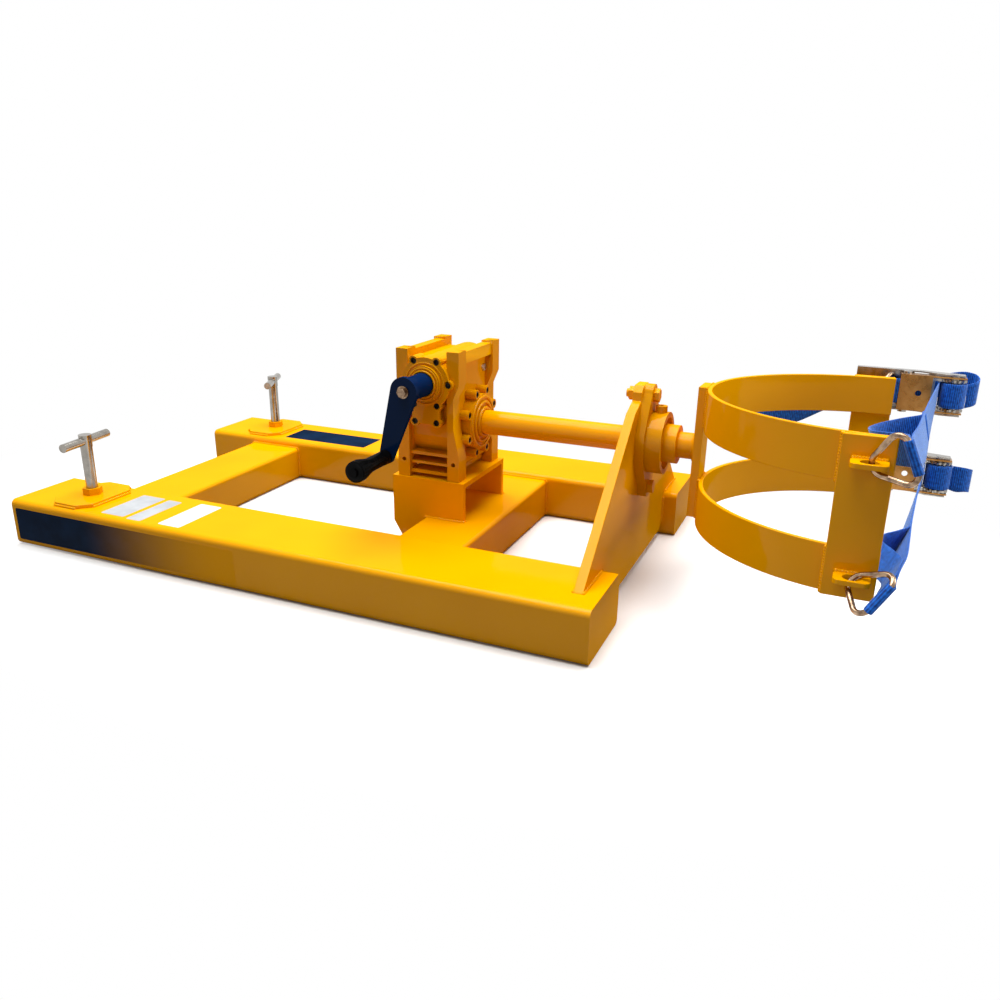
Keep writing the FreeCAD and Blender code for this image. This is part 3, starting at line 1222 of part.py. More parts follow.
def build_handle(level, middle):
    """Channel handle that swings on the spool, with its spring pawl."""
    x, y = "spool_x", "ratchet_y"
    end = f"{x} - handle_length"
    outer_y = f"{y} + handle_offset"
    outline = (
        (f"{x} + handle_eye", f"{y} - handle_eye * {HANDLE_EYE_SHARE}"),
        (f"{x} + handle_eye", f"{y} + handle_eye * {HANDLE_EYE_SHARE}"),
        (f"{x} - handle_neck", f"{outer_y} + handle_depth"),
        (end, f"{outer_y} + handle_depth"),
        (end, outer_y),
        (f"{x} - handle_neck", outer_y),
        (f"{x} - handle_eye", f"{y} - handle_eye * {HANDLE_EYE_SHARE}"),
    )
    parts, eyes = [], []
    for low in both_sides("handle_inner", "steel_thickness"):
        parts.append(plate(f"{level}_handle_side", "XY_Plane", outline, f"{middle} + {low}",
                           "steel_thickness"))
        eyes.append(rod(f"{level}_handle_eye", (x, y, f"{middle} + {low} - overrun"), "z",
                        "spool_journal_radius + running_gap", "steel_thickness + 2 * overrun"))
    parts.append(box(f"{level}_handle_web", (end, f"{outer_y} + handle_depth - steel_thickness",
                                             f"{middle} - handle_inner"),
                     ("handle_length - handle_web_start", "steel_thickness", "2 * handle_inner")))
    parts.append(box(f"{level}_handle_grip", (end, outer_y, f"{middle} - handle_inner"),
                     ("handle_grip", "steel_thickness", "2 * handle_inner")))
    turned(f"{level}_ratchet_handle", cut(f"{level}_handle_cut", fuse(f"{level}_handle", *parts), *eyes))
    tip = f"{x} - ratchet_wheel_radius * pawl_share"
    top = f"{y} + frame_outset + pawl_gap"
    bar = box(f"{level}_pawl_bar", (f"{tip} - pawl_arm - pawl_body", top,
                                    f"{middle} - handle_inner + running_gap"),
              ("pawl_body", "pawl_thickness", "2 * handle_inner - 2 * running_gap"))
    arms = [box(f"{level}_pawl_arm", (f"{tip} - pawl_arm - overrun", top, f"{middle} + {low}"),
                ("pawl_arm + overrun", "pawl_thickness", "ratchet_wheel_thickness"))
            for low in both_sides("wheel_inner", "ratchet_wheel_thickness")]
    turned(f"{level}_drive_pawl", fuse(f"{level}_pawl", bar, *arms))


def build_lock_pawl(level, middle):
    """Spring pawl in the frame that holds the spool."""
    y = "ratchet_y - frame_inset + steel_thickness + running_gap"
    tip = "spool_x - ratchet_wheel_radius - pawl_gap"
    low_end = f"{middle} - frame_inner + running_gap"
    bar = box(f"{level}_lock_bar", (f"{tip} - pawl_arm - pawl_body", y, low_end),
              ("pawl_body", "pawl_thickness", "2 * frame_inner - 2 * running_gap"))
    arms = [box(f"{level}_lock_arm", (f"{tip} - pawl_arm - overrun", y, f"{middle} + {low}"),
                ("pawl_arm + overrun", "pawl_thickness", "ratchet_wheel_thickness"))
            for low in both_sides("wheel_inner", "ratchet_wheel_thickness")]
    turned(f"{level}_lock_pawl", fuse(f"{level}_lock", bar, *arms))


def build_crank():
    """Crank hub, arm, bolt, grip pin and turning grip."""
    x, z = "gearbox_x", "worm_height"
    hub = rod("hub", (x, "-crank_arm_face", z), "y", "crank_hub_radius", "crank_hub_length")
    bore = rod("hub_bore", (x, "-crank_start - input_shaft_depth", z), "y", "input_shaft_radius",
               "input_shaft_depth + overrun")
    bolt_way = rod("hub_bolt_way", (x, "-crank_arm_face - overrun", z), "y", "crank_bolt_radius",
                   "crank_hub_length")
    node("crank_hub", cut("hub_cut", hub, bore, bolt_way))
    tip_x = f"{x} - crank_arm_length * sin(crank_arm_angle)"
    tip_z = f"{z} - crank_arm_length * cos(crank_arm_angle)"
    face = "-crank_arm_face - crank_arm_thickness"
    eye = rod("arm_eye", (x, face, z), "y", "crank_eye_radius", "crank_arm_thickness")
    tip = rod("arm_tip", (tip_x, face, tip_z), "y", "crank_tip_radius", "crank_arm_thickness")
    lean = "asin((crank_eye_radius - crank_tip_radius) / crank_arm_length)"
    sides = []
    for spot_x, spot_z, radius in ((x, z, "crank_eye_radius"), (tip_x, tip_z, "crank_tip_radius")):
        for way, sign in (("+", "-"), ("-", "+")):
            sides.append((f"{spot_x} {way} {radius} * cos(crank_arm_angle * 1 deg {way} {lean})",
                          f"{spot_z} {sign} {radius} * sin(crank_arm_angle * 1 deg {way} {lean})"))
    outline = (sides[0], sides[1], sides[3], sides[2])
    blank = plate("arm_blank", "XZ_Plane", outline, "crank_arm_face", "crank_arm_thickness")
    holes = [rod("arm_bolt_hole", (x, f"{face} - overrun", z), "y", "crank_bolt_radius",
                 "crank_arm_thickness + 2 * overrun"),
             rod("arm_pin_hole", (tip_x, f"{face} - overrun", tip_z), "y", "grip_pin_radius",
                 "crank_arm_thickness + 2 * overrun")]
    node("crank_arm", cut("arm_cut", fuse("arm", eye, tip, blank), *holes))
    shank = rod("crank_bolt_shank", (x, face, z), "y", "crank_bolt_radius",
                "crank_arm_thickness + crank_hub_length - input_shaft_depth / 2")
    washer = rod("crank_washer_disc", (x, f"{face} - crank_washer", z), "y", "crank_washer_radius",
                 "crank_washer")
    head = hexagon("crank_bolt_hex", (x, f"{face} - crank_washer - crank_bolt_head", z), "y",
                   "crank_bolt_head_radius", "crank_bolt_head")
    node("crank_bolt", fuse("crank_bolt_set", shank, washer, head))
    end = "-grip_start - grip_length"
    pin = rod("pin_shank", (tip_x, f"{end} - grip_gap", tip_z), "y", "grip_pin_radius",
              "grip_length + 2 * grip_gap + crank_arm_thickness")
    pin_head = rod("pin_head", (tip_x, f"{end} - grip_gap - grip_pin_head", tip_z), "y",
                   "grip_pin_head_radius", "grip_pin_head")
    node("grip_pin", fuse("grip_pin_set", pin, pin_head))
    barrel = rod("grip_barrel", (tip_x, f"{end} + grip_end_length", tip_z), "y", "grip_radius",
                 "grip_length - grip_end_length")
    flare = taper("grip_flare", (tip_x, end, tip_z), "y", "grip_end_radius", "grip_radius", "grip_end_length")
    core = rod("grip_core", (tip_x, f"{end} - overrun", tip_z), "y", "grip_pin_radius + running_gap",
               "grip_length + 2 * overrun")
    node("grip", cut("grip_cut", fuse("grip_blank", barrel, flare), core))


def build_screws():
    """Clamp screws with tee bars, on the base plates welded to the fork tubes."""
    bases, nuts = [], []
    half_l, half_w, chamfer = "screw_base_length / 2", "screw_base_width / 2", "screw_base_chamfer"
    for side, y, raised in (("near", "-tube_middle_y", "0"), ("far", "tube_middle_y", "far_screw_raise")):
        outline = []
        for i, j in (("+", "-"), ("+", "+"), ("-", "+"), ("-", "-")):
            first = (f"screw_x {i} {half_l}", f"{y} {j} ({half_w} - {chamfer})")
            second = (f"screw_x {i} ({half_l} - {chamfer})", f"{y} {j} {half_w}")
            outline += [second, first] if i + j in ("+-", "-+") else [first, second]
        blank = plate(f"{side}_screw_base", "XY_Plane", outline, "tube_height", "screw_base_thickness")
        eye = rod(f"{side}_base_eye", ("screw_x", y, "tube_height - overrun"), "z",
                  "screw_radius + running_gap", "screw_base_thickness + 2 * overrun")
        bases.append(cut(f"{side}_base_cut", blank, eye))
        low = "tube_height + screw_base_thickness"
        nut = hexagon(f"{side}_nut_hex", ("screw_x", y, low), "z", "screw_nut_radius", "screw_nut_height")
        nut_eye = rod(f"{side}_nut_eye", ("screw_x", y, f"{low} - overrun"), "z",
                      "screw_radius + running_gap", "screw_nut_height + 2 * overrun")
        nuts.append(cut(f"{side}_nut_cut", nut, nut_eye))
        top = f"screw_top + {raised} - tee_collar / 2"
        shank = rod(f"{side}_shank", ("screw_x", y, f"screw_bottom + {raised}"), "z", "screw_radius",
                    f"{top} - screw_bottom - {raised} - running_gap")
        node(f"{side}_clamp_screw", group(f"{side}_screw", shank))
        collar = rod(f"{side}_collar", ("screw_x", y, top), "z", "tee_collar_radius", "tee_collar")
        bar = DOC.addObject("Part::Cylinder", f"{side}_tee")
        bind(bar, (("Radius", "tee_radius"), ("Height", "tee_length")))
        DOC.recompute()
        way = Vector(math.cos(math.radians(size(f"{side}_tee_angle"))),
                     math.sin(math.radians(size(f"{side}_tee_angle"))), 0)
        middle_y = size("tube_middle_y") * (-1 if side == "near" else 1)
        middle_z = size("screw_top") + (0 if side == "near" else size("far_screw_raise"))
        middle = Vector(size("screw_x"), middle_y, middle_z)
        bar.Placement = Placement(middle - way * (size("tee_length") / 2), Rotation(Vector(0, 0, 1), way))
        node(f"{side}_tee_bar", fuse(f"{side}_tee_set", collar, bar))
    node("screw_base_plates", group("base_pair", *bases))
    node("clamp_nuts", group("nut_pair", *nuts))


def export():
    """Check every object, then write each sub-part to its own file."""
    DOC.recompute()
    for item in DOC.Objects:
        if "Invalid" in item.State or "Error" in item.State:
            raise RuntimeError(f"{item.Name} failed: {item.State}")
    os.makedirs("parts", exist_ok=True)
    for item in NODES:
        shape = item.Shape
        if shape.isNull() or not shape.isValid() or not shape.Solids:
            raise RuntimeError(f"{item.Label} has no valid solid")
        shape.exportStep(os.path.join("parts", item.Label + ".step"))
        print(item.Label, len(shape.Solids), round(shape.Volume))


def main():
    """Build the drum tipper and write its parts."""
    fill_sheet()
    build_frame()
    build_bracket()
    build_gearbox()
    build_worm_wheel()
    build_worm()
    build_bearing()
    build_clamp()
    build_rings()
    build_straps()
    build_ratchets()
    build_crank()
    build_screws()
    export()
    print(len(NODES), "sub-parts")


main()
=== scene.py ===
"""Dresses the drum tipper: painted frame, gearbox, crank, drum clamp, rings and ratchet straps.

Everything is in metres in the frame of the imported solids: +X from the fork mouths towards the
drum clamp, +Z up, the crank on the -Y side.
"""

from __future__ import annotations

import json
import logging
import math
from dataclasses import dataclass
from enum import Enum
from typing import Any

import bpy
from mathutils import Matrix, Vector

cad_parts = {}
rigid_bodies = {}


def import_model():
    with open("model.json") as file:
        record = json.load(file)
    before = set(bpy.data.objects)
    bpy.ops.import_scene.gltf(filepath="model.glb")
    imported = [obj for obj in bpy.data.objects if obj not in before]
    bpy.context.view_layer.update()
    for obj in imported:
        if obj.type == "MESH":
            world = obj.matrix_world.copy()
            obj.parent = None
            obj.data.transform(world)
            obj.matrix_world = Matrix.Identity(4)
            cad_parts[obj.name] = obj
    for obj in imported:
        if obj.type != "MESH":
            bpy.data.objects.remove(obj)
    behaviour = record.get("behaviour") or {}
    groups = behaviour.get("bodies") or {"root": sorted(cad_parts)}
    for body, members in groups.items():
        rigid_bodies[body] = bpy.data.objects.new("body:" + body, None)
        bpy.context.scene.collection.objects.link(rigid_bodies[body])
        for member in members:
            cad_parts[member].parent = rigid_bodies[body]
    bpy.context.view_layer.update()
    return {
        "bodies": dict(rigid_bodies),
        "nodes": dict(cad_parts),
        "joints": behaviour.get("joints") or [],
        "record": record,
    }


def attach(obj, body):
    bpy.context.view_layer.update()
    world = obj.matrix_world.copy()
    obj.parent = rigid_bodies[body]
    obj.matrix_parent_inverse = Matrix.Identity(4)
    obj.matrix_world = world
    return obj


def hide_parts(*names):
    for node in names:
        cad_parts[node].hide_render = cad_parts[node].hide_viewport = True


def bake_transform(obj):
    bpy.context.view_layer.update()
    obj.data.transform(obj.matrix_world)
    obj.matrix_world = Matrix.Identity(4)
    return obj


logging.basicConfig(level=logging.INFO, format="%(message)s")
LOG = logging.getLogger("drum_tipper")

Point = tuple[float, float, float]
Pair = tuple[float, float]
Line = tuple[Point, Point]
Shares = tuple[Pair, ...]
Sockets = dict[Any, Any]

MM = 0.001
SHAFT_HEIGHT = 0.279
WORM_HEIGHT = 0.372
GEARBOX_X = 0.838
CLAMP_TURN = math.radians(-2.5)
MERGE_DISTANCE = 0.01 * MM
FLAT_ANGLE = math.radians(0.6)
ACROSS = Vector((1, 0, 0))
WHITE = (1, 1, 1, 1)
FRAME: dict[str, Any] = {}


class Body(str, Enum):
    """Names of the moving bodies that new pieces ride on."""

    FRAME = "frame"
    CLAMP = "clamp"
    GRIP = "crank_grip"


class Level(str, Enum):
    """The two strap levels of the clamp."""

    UPPER = "upper"
    LOWER = "lower"


class FilmColour(str, Enum):
    """The bare films on the fork tubes."""

    NAVY = "navy"
    FADING = "fading"
    WHITE = "white"
    SILVER = "silver"


class Facing(float, Enum):
    """Turn about Z, from -Y, of the faces that the gearbox covers stand on."""

    NEAR = 0.0
    FAR = math.pi
    FRONT = math.pi / 2
    REAR = -math.pi / 2


def linear(code: str) -> tuple[float, float, float, float]:
    """Turn an sRGB hex code into linear colour.

    Args:
        code: Six hex digits after a hash sign.

    Returns:
        Red, green, blue and alpha for a colour socket.
    """
    parts = [int(code[i:i + 2], 16) / 255 for i in (1, 3, 5)]
    flat = [p / 12.92 if p <= 0.04045 else ((p + 0.055) / 1.055) ** 2.4 for p in parts]
    return (flat[0], flat[1], flat[2], 1.0)


def per_metre(millimetres: float) -> float:
    """Return the texture scale that gives one feature in so many millimetres."""
    return 1.0 / (millimetres * MM)


def add_node(tree: bpy.types.NodeTree, kind: str, settings: Sockets | None = None,
             links: Sockets | None = None) -> bpy.types.Node:
    """Add one node with its settings and links.

    Args:
        tree: The material's node tree.
        kind: Blender's name of the node type.
        settings: Socket names or numbers, or node properties, with their values. The key ramp
            holds the places and hex colours of a colour ramp.
        links: Socket names or numbers with the output each is fed from.

    Returns:
        The new node.
    """
    node = tree.nodes.new(kind)
    for key, value in (settings or {}).items():
        if key == "ramp":
            for stop, (place, code) in zip(node.color_ramp.elements, value):
                stop.position = place
                stop.color = linear(code)
        elif isinstance(key, int) or key in node.inputs:
            node.inputs[key].default_value = value
        else:
            setattr(node, key, value)
    for key, source in (links or {}).items():
        tree.links.new(source, node.inputs[key])
    return node


@dataclass(frozen=True)
class Finish:
    """What a real surface is and how it was made, as a node material."""

    name: str

    def pattern(self, tree: bpy.types.NodeTree) -> tuple[Sockets, Sockets]:
        """Add the nodes that feed the shader; each finish has its own."""
        raise NotImplementedError

    def material(self) -> bpy.types.Material:
        """Make the material.

        Returns:
            The finish as a node material.
        """
        material = bpy.data.materials.new(self.name)
        material.use_nodes = True
        tree = material.node_tree
        tree.nodes.clear()
        settings, links = self.pattern(tree)
        shader = add_node(tree, "ShaderNodeBsdfPrincipled", settings, links)
        add_node(tree, "ShaderNodeOutputMaterial", links={"Surface": shader.outputs["BSDF"]})
        return material


@dataclass(frozen=True)
class Enamel(Finish):
    """Sprayed gloss enamel on steel: an even colour with orange peel and a wet-looking coat."""

    pale: str
    deep: str
    roughness: float = 0.3
    coat: float = 0.06
    drift_mm: float = 260.0
    gloss_mm: float = 90.0
    peel_mm: float = 6.0
    peel_depth_mm: float = 0.10
    drift_shares: Pair = (0.25, 0.75)
    gloss_shares: Pair = (0.3, 0.7)
    smoother: float = 0.04
    rougher: float = 0.08

    def pattern(self, tree: bpy.types.NodeTree) -> tuple[Sockets, Sockets]:
        """Add the colour drift, the gloss and the orange peel.

        Args:
            tree: The material's node tree.

        Returns:
            The shader's settings and links.
        """
        spot = add_node(tree, "ShaderNodeTexCoord").outputs["Object"]
        drift, gloss, peel = (
            add_node(tree, "ShaderNodeTexNoise", {"Scale": per_metre(size), "Detail": detail},
                     {"Vector": spot}).outputs["Fac"]
            for size, detail in ((self.drift_mm, 2.0), (self.gloss_mm, 3.0), (self.peel_mm, 1.0)))
        start, end = self.drift_shares
        colour = add_node(tree, "ShaderNodeValToRGB", {"ramp": ((start, self.deep), (end, self.pale))},
                          {"Fac": drift})
        low, high = self.gloss_shares
        rough = add_node(tree, "ShaderNodeMapRange",
                         {"From Min": low, "From Max": high, "To Min": self.roughness - self.smoother,
                          "To Max": self.roughness + self.rougher}, {"Value": gloss})
        bump = add_node(tree, "ShaderNodeBump", {"Strength": 0.35, "Distance": self.peel_depth_mm * MM},
                        {"Height": peel})
        return ({"Specular IOR Level": 0.0, "Coat Weight": self.coat, "Coat IOR": 2.2,
                 "Coat Roughness": 0.1},
                {"Base Color": colour.outputs["Color"], "Roughness": rough.outputs["Result"],
                 "Normal": bump.outputs["Normal"]})


@dataclass(frozen=True)
class CastEnamel(Enamel):
    """The same enamel over a sand cast aluminium housing, whose pebbled skin shows through."""

    grit_mm: float = 3.0
    grit_depth_mm: float = 0.25

    def pattern(self, tree: bpy.types.NodeTree) -> tuple[Sockets, Sockets]:
        """Add the enamel's nodes and the pebbled skin.

        Args:
            tree: The material's node tree.

        Returns:
            The shader's settings and links.
        """
        settings, links = super().pattern(tree)
        spot = add_node(tree, "ShaderNodeTexCoord").outputs["Object"]
        grit = add_node(tree, "ShaderNodeTexVoronoi", {"Scale": per_metre(self.grit_mm)}, {"Vector": spot})
        bump = add_node(tree, "ShaderNodeBump", {"Strength": 0.3, "Distance": self.grit_depth_mm * MM},
                        {"Height": grit.outputs["Distance"], "Normal": links["Normal"]})
        return settings, links | {"Normal": bump.outputs["Normal"]}


@dataclass(frozen=True)
class PlatedSteel(Finish):
    """Zinc plated steel: bright grey metal with soft blotches of passivation and fine drawing lines; where
    its two colours lie far apart, as on the yellow passivated rings, the blotches are partly painted
    reflections.
    """

    dark: str
    light: str
    roughness: float = 0.28
    blotch_mm: float = 14.0
    line_mm: float = 1.5
    line_depth_mm: float = 0.05
    line_stretch: Point = (0.08, 1.0, 1.0)
    blotch_shares: Pair = (0.35, 0.65)
    smoother: float = 0.08
    rougher: float = 0.14

    def pattern(self, tree: bpy.types.NodeTree) -> tuple[Sockets, Sockets]:
        """Add the blotches and the drawing lines.

        Args:
            tree: The material's node tree.

        Returns:
            The shader's settings and links.
        """
        spot = add_node(tree, "ShaderNodeTexCoord").outputs["Object"]
        blotch = add_node(tree, "ShaderNodeTexNoise", {"Scale": per_metre(self.blotch_mm), "Detail": 3.0},
                          {"Vector": spot}).outputs["Fac"]
        start, end = self.blotch_shares
        colour = add_node(tree, "ShaderNodeValToRGB", {"ramp": ((start, self.dark), (end, self.light))},
                          {"Fac": blotch})
        rough = add_node(tree, "ShaderNodeMapRange", {"To Min": self.roughness - self.smoother,
                                                      "To Max": self.roughness + self.rougher},
                         {"Value": blotch})
        stretched = add_node(tree, "ShaderNodeMapping", {"Scale": self.line_stretch}, {"Vector": spot})
        lines = add_node(tree, "ShaderNodeTexNoise", {"Scale": per_metre(self.line_mm), "Detail": 1.0},
                         {"Vector": stretched.outputs["Vector"]})
        bump = add_node(tree, "ShaderNodeBump", {"Strength": 0.06, "Distance": self.line_depth_mm * MM},
                        {"Height": lines.outputs["Fac"]})
        return ({"Metallic": 1.0},
                {"Base Color": colour.outputs["Color"], "Roughness": rough.outputs["Result"],
                 "Normal": bump.outputs["Normal"]})


@dataclass(frozen=True)
class MouldedPlastic(Finish):
    """Injection moulded nylon: near black with a fine spark-eroded grain."""

    dark: str
    light: str
    roughness: float = 0.42
    cloud_mm: float = 18.0
    grain_mm: float = 1.2
    grain_depth_mm: float = 0.08
    cloud_shares: Pair = (0.35, 0.65)

    def pattern(self, tree: bpy.types.NodeTree) -> tuple[Sockets, Sockets]:
        """Add the clouded colour and the grain.

        Args:
            tree: The material's node tree.

        Returns:
            The shader's settings and links.
        """
        spot = add_node(tree, "ShaderNodeTexCoord").outputs["Object"]
        cloud = add_node(tree, "ShaderNodeTexNoise", {"Scale": per_metre(self.cloud_mm), "Detail": 2.0},
                         {"Vector": spot})
        start, end = self.cloud_shares
        colour = add_node(tree, "ShaderNodeValToRGB", {"ramp": ((start, self.dark), (end, self.light))},
                          {"Fac": cloud.outputs["Fac"]})
        grain = add_node(tree, "ShaderNodeTexVoronoi", {"Scale": per_metre(self.grain_mm)}, {"Vector": spot})
        bump = add_node(tree, "ShaderNodeBump", {"Strength": 0.25, "Distance": self.grain_depth_mm * MM},
                        {"Height": grain.outputs["Distance"]})
        return ({"Roughness": self.roughness, "Specular IOR Level": 0.0, "Coat Weight": 0.1,
                 "Coat Roughness": 0.08},
                {"Base Color": colour.outputs["Color"], "Normal": bump.outputs["Normal"]})


@dataclass(frozen=True)
class Webbing(Finish):
    """Woven polyester webbing: ribs across the width, two selvedges, a soft sheen.

    The weave reads the strip's own UV map, whose unit is one width of webbing. The ribs are
    drawn at 4 mm, about twice their real pitch, so that they show in the render. The colour
    follows the weave's height: lighter on the crests, darker in the grooves as painted shade.
    """

    dark: str
    light: str
    sheen: str
    width_mm: float = 50.0
    rib_mm: float = 4.0
    yarn_mm: float = 2.0
    weave_depth_mm: float = 0.35
    yarn_share: float = 0.35
    weave_share: float = 0.5
    fuzz_per_width: float = 9.0
    shade_shares: Pair = (0.5, 1.0)

    def pattern(self, tree: bpy.types.NodeTree) -> tuple[Sockets, Sockets]:
        """Add the weave of ribs and yarns with its fuzz, and painted shade in the grooves.

        Args:
            tree: The material's node tree.

        Returns:
            The shader's settings and links.
        """
        weave = add_node(tree, "ShaderNodeUVMap", {"uv_map": "weave"}).outputs["UV"]
        split = add_node(tree, "ShaderNodeSeparateXYZ", links={"Vector": weave})
        waves = []
        for axis, pitch in (("Y", self.rib_mm), ("X", self.yarn_mm)):
            turns = 2 * math.pi * self.width_mm / pitch
            angle = add_node(tree, "ShaderNodeMath", {"operation": "MULTIPLY", 1: turns},
                             {0: split.outputs[axis]})
            waves.append(add_node(tree, "ShaderNodeMath", {"operation": "SINE"}, {0: angle.outputs[0]}))
        rib, yarn = waves
        cloth = add_node(tree, "ShaderNodeMath", {"operation": "MULTIPLY_ADD", 1: self.yarn_share},
                         {0: yarn.outputs[0], 2: rib.outputs[0]})
        crest = 1 + self.yarn_share
        level = add_node(tree, "ShaderNodeMapRange", {"From Min": -crest, "From Max": crest},
                         {"Value": cloth.outputs[0]})
        fuzz = add_node(tree, "ShaderNodeTexNoise", {"Scale": self.fuzz_per_width, "Detail": 4.0},
                        {"Vector": weave})
        shade = add_node(tree, "ShaderNodeMath", {"operation": "MULTIPLY_ADD", 1: self.weave_share},
                         {0: level.outputs["Result"], 2: fuzz.outputs["Fac"]})
        # Colour follows the weave's height: painted shade in the grooves, lighter crests, with random fuzz
        # on top.
        start, end = self.shade_shares
        colour = add_node(tree, "ShaderNodeValToRGB", {"ramp": ((start, self.dark), (end, self.light))},
                          {"Fac": shade.outputs[0]})
        bump = add_node(tree, "ShaderNodeBump", {"Strength": 0.6, "Distance": self.weave_depth_mm * MM},
                        {"Height": level.outputs["Result"]})
        return ({"Roughness": 0.62, "Specular IOR Level": 0.2, "Sheen Weight": 0.6, "Sheen Roughness": 0.4,
                 "Sheen Tint": linear(self.sheen)},
                {"Base Color": colour.outputs["Color"], "Normal": bump.outputs["Normal"]})


@dataclass(frozen=True)
class Film(Finish):
    """Bare self-adhesive vinyl film, satin, with a fade along X where it has one."""

    colour: str
    worn: str
    fade_to: str | None = None
    fade_start: float = 0.0
    fade_end: float = 1.0
    cloud_mm: float = 40.0
    ripple_mm: float = 25.0
    ripple_depth_mm: float = 0.05
    cloud_shares: Pair = (0.35, 0.65)

    def pattern(self, tree: bpy.types.NodeTree) -> tuple[Sockets, Sockets]:
        """Add the worn colour, the fade and the ripple.

        Args:
            tree: The material's node tree.

        Returns:
            The shader's settings and links.
        """
        spot = add_node(tree, "ShaderNodeTexCoord").outputs["Object"]
        cloud = add_node(tree, "ShaderNodeTexNoise", {"Scale": per_metre(self.cloud_mm), "Detail": 3.0},
                         {"Vector": spot})
        start, end = self.cloud_shares
        ramp = add_node(tree, "ShaderNodeValToRGB", {"ramp": ((start, self.colour), (end, self.worn))},
                        {"Fac": cloud.outputs["Fac"]})
        colour = ramp.outputs["Color"]
        if self.fade_to:
            split = add_node(tree, "ShaderNodeSeparateXYZ", links={"Vector": spot})
            share = add_node(tree, "ShaderNodeMapRange",
                             {"From Min": self.fade_start, "From Max": self.fade_end,
                              "interpolation_type": "SMOOTHSTEP"}, {"Value": split.outputs["X"]})
            mix = add_node(tree, "ShaderNodeMix", {"data_type": "RGBA", 7: linear(self.fade_to)},
                           {0: share.outputs["Result"], 6: colour})
            colour = mix.outputs[2]
        ripple = add_node(tree, "ShaderNodeTexNoise", {"Scale": per_metre(self.ripple_mm), "Detail": 1.0},
                          {"Vector": spot})
        bump = add_node(tree, "ShaderNodeBump", {"Strength": 0.2, "Distance": self.ripple_depth_mm * MM},
                        {"Height": ripple.outputs["Fac"]})
        return ({"Roughness": 0.33, "Specular IOR Level": 0.0, "Coat Weight": 0.03, "Coat IOR": 2.2,
                 "Coat Roughness": 0.1}, {"Base Color": colour, "Normal": bump.outputs["Normal"]})


class Finishes:
    """All finishes of the part, each made once."""

    def __init__(self) -> None:
        """Make the materials."""
        self.enamel = Enamel("yellow_enamel_on_steel", "#F4A800", "#EA9C00").material()
        # The casting wears the same enamel as the steel; its two colours are set darker than the steel's as
        # painted shade on the gearbox.
        self.cast = CastEnamel("yellow_enamel_on_casting_with_painted_shade", "#E39B00", "#D28C00", roughness=0.28).material()
        self.navy = Enamel("navy_enamel_on_steel", "#08244E", "#051B40", coat=0.03).material()
        self.zinc = PlatedSteel("bright_zinc_plate", "#928D85", "#A39E96", roughness=0.16).material()
        # Yellow passivated zinc of the rings and the crank bolt: its dark and light colours lie far apart,
        # so its blotches are partly passivation tone and partly painted reflections.
        self.passivated = PlatedSteel("yellow_passivated_zinc_with_painted_reflections", "#6E5847", "#AE9378", roughness=0.16,
                                      blotch_mm=9.0).material()
        self.brown = PlatedSteel("brown_passivated_zinc", "#9A6A34", "#AC7D45", roughness=0.26,
                                 blotch_mm=16.0).material()
        self.plug = PlatedSteel("white_zinc_plate", "#B4B4B0", "#D2D2CE", roughness=0.24).material()
        self.ground = PlatedSteel("ground_bearing_steel", "#8E9092", "#B9BBBD", roughness=0.24).material()
        self.bronze = PlatedSteel("machined_bronze", "#9A6A2C", "#C08F4A", roughness=0.3).material()
        self.screw = PlatedSteel("oiled_black_steel", "#1A1713", "#38322A", roughness=0.4).material()
        self.nylon = MouldedPlastic("black_nylon", "#050506", "#0B0B0C").material()
        # The webbing's dark and light colours are the weave's grooves in painted shade and its lit crests.
        self.webbing = Webbing("blue_polyester_webbing", "#042A70", "#1F74E4", "#B4D2FF").material()
        self.stitch = MouldedPlastic("blue_sewing_thread", "#2A62C8", "#5C93EE", roughness=0.6).material()
        films = {FilmColour.NAVY: Film("navy_vinyl_film", "#061A32", "#0A2340"),
                 FilmColour.FADING: Film("fading_navy_vinyl_film", "#061A32", "#0A2340", fade_to="#EFA200",
                                         fade_start=0.19, fade_end=0.56),
                 FilmColour.WHITE: Film("white_vinyl_film", "#DCDEE0", "#E6E8EA"),
                 FilmColour.SILVER: Film("silver_vinyl_film", "#A8ABAE", "#B6B9BC")}
        self.films = {colour: film.material() for colour, film in films.items()}


class Editing:
    """Edit mode on one piece, with all of it selected, for the length of a with block."""

    def __init__(self, piece: bpy.types.Object) -> None:
        """Note the piece."""
        self.piece = piece

    def __enter__(self) -> None:
        """Enter edit mode and select everything."""
        Bench.select(self.piece)
        bpy.ops.object.mode_set(mode="EDIT")
        bpy.ops.mesh.select_all(action="SELECT")

    def __exit__(self, *problem: object) -> None:
        """Leave edit mode."""
        bpy.ops.object.mode_set(mode="OBJECT")


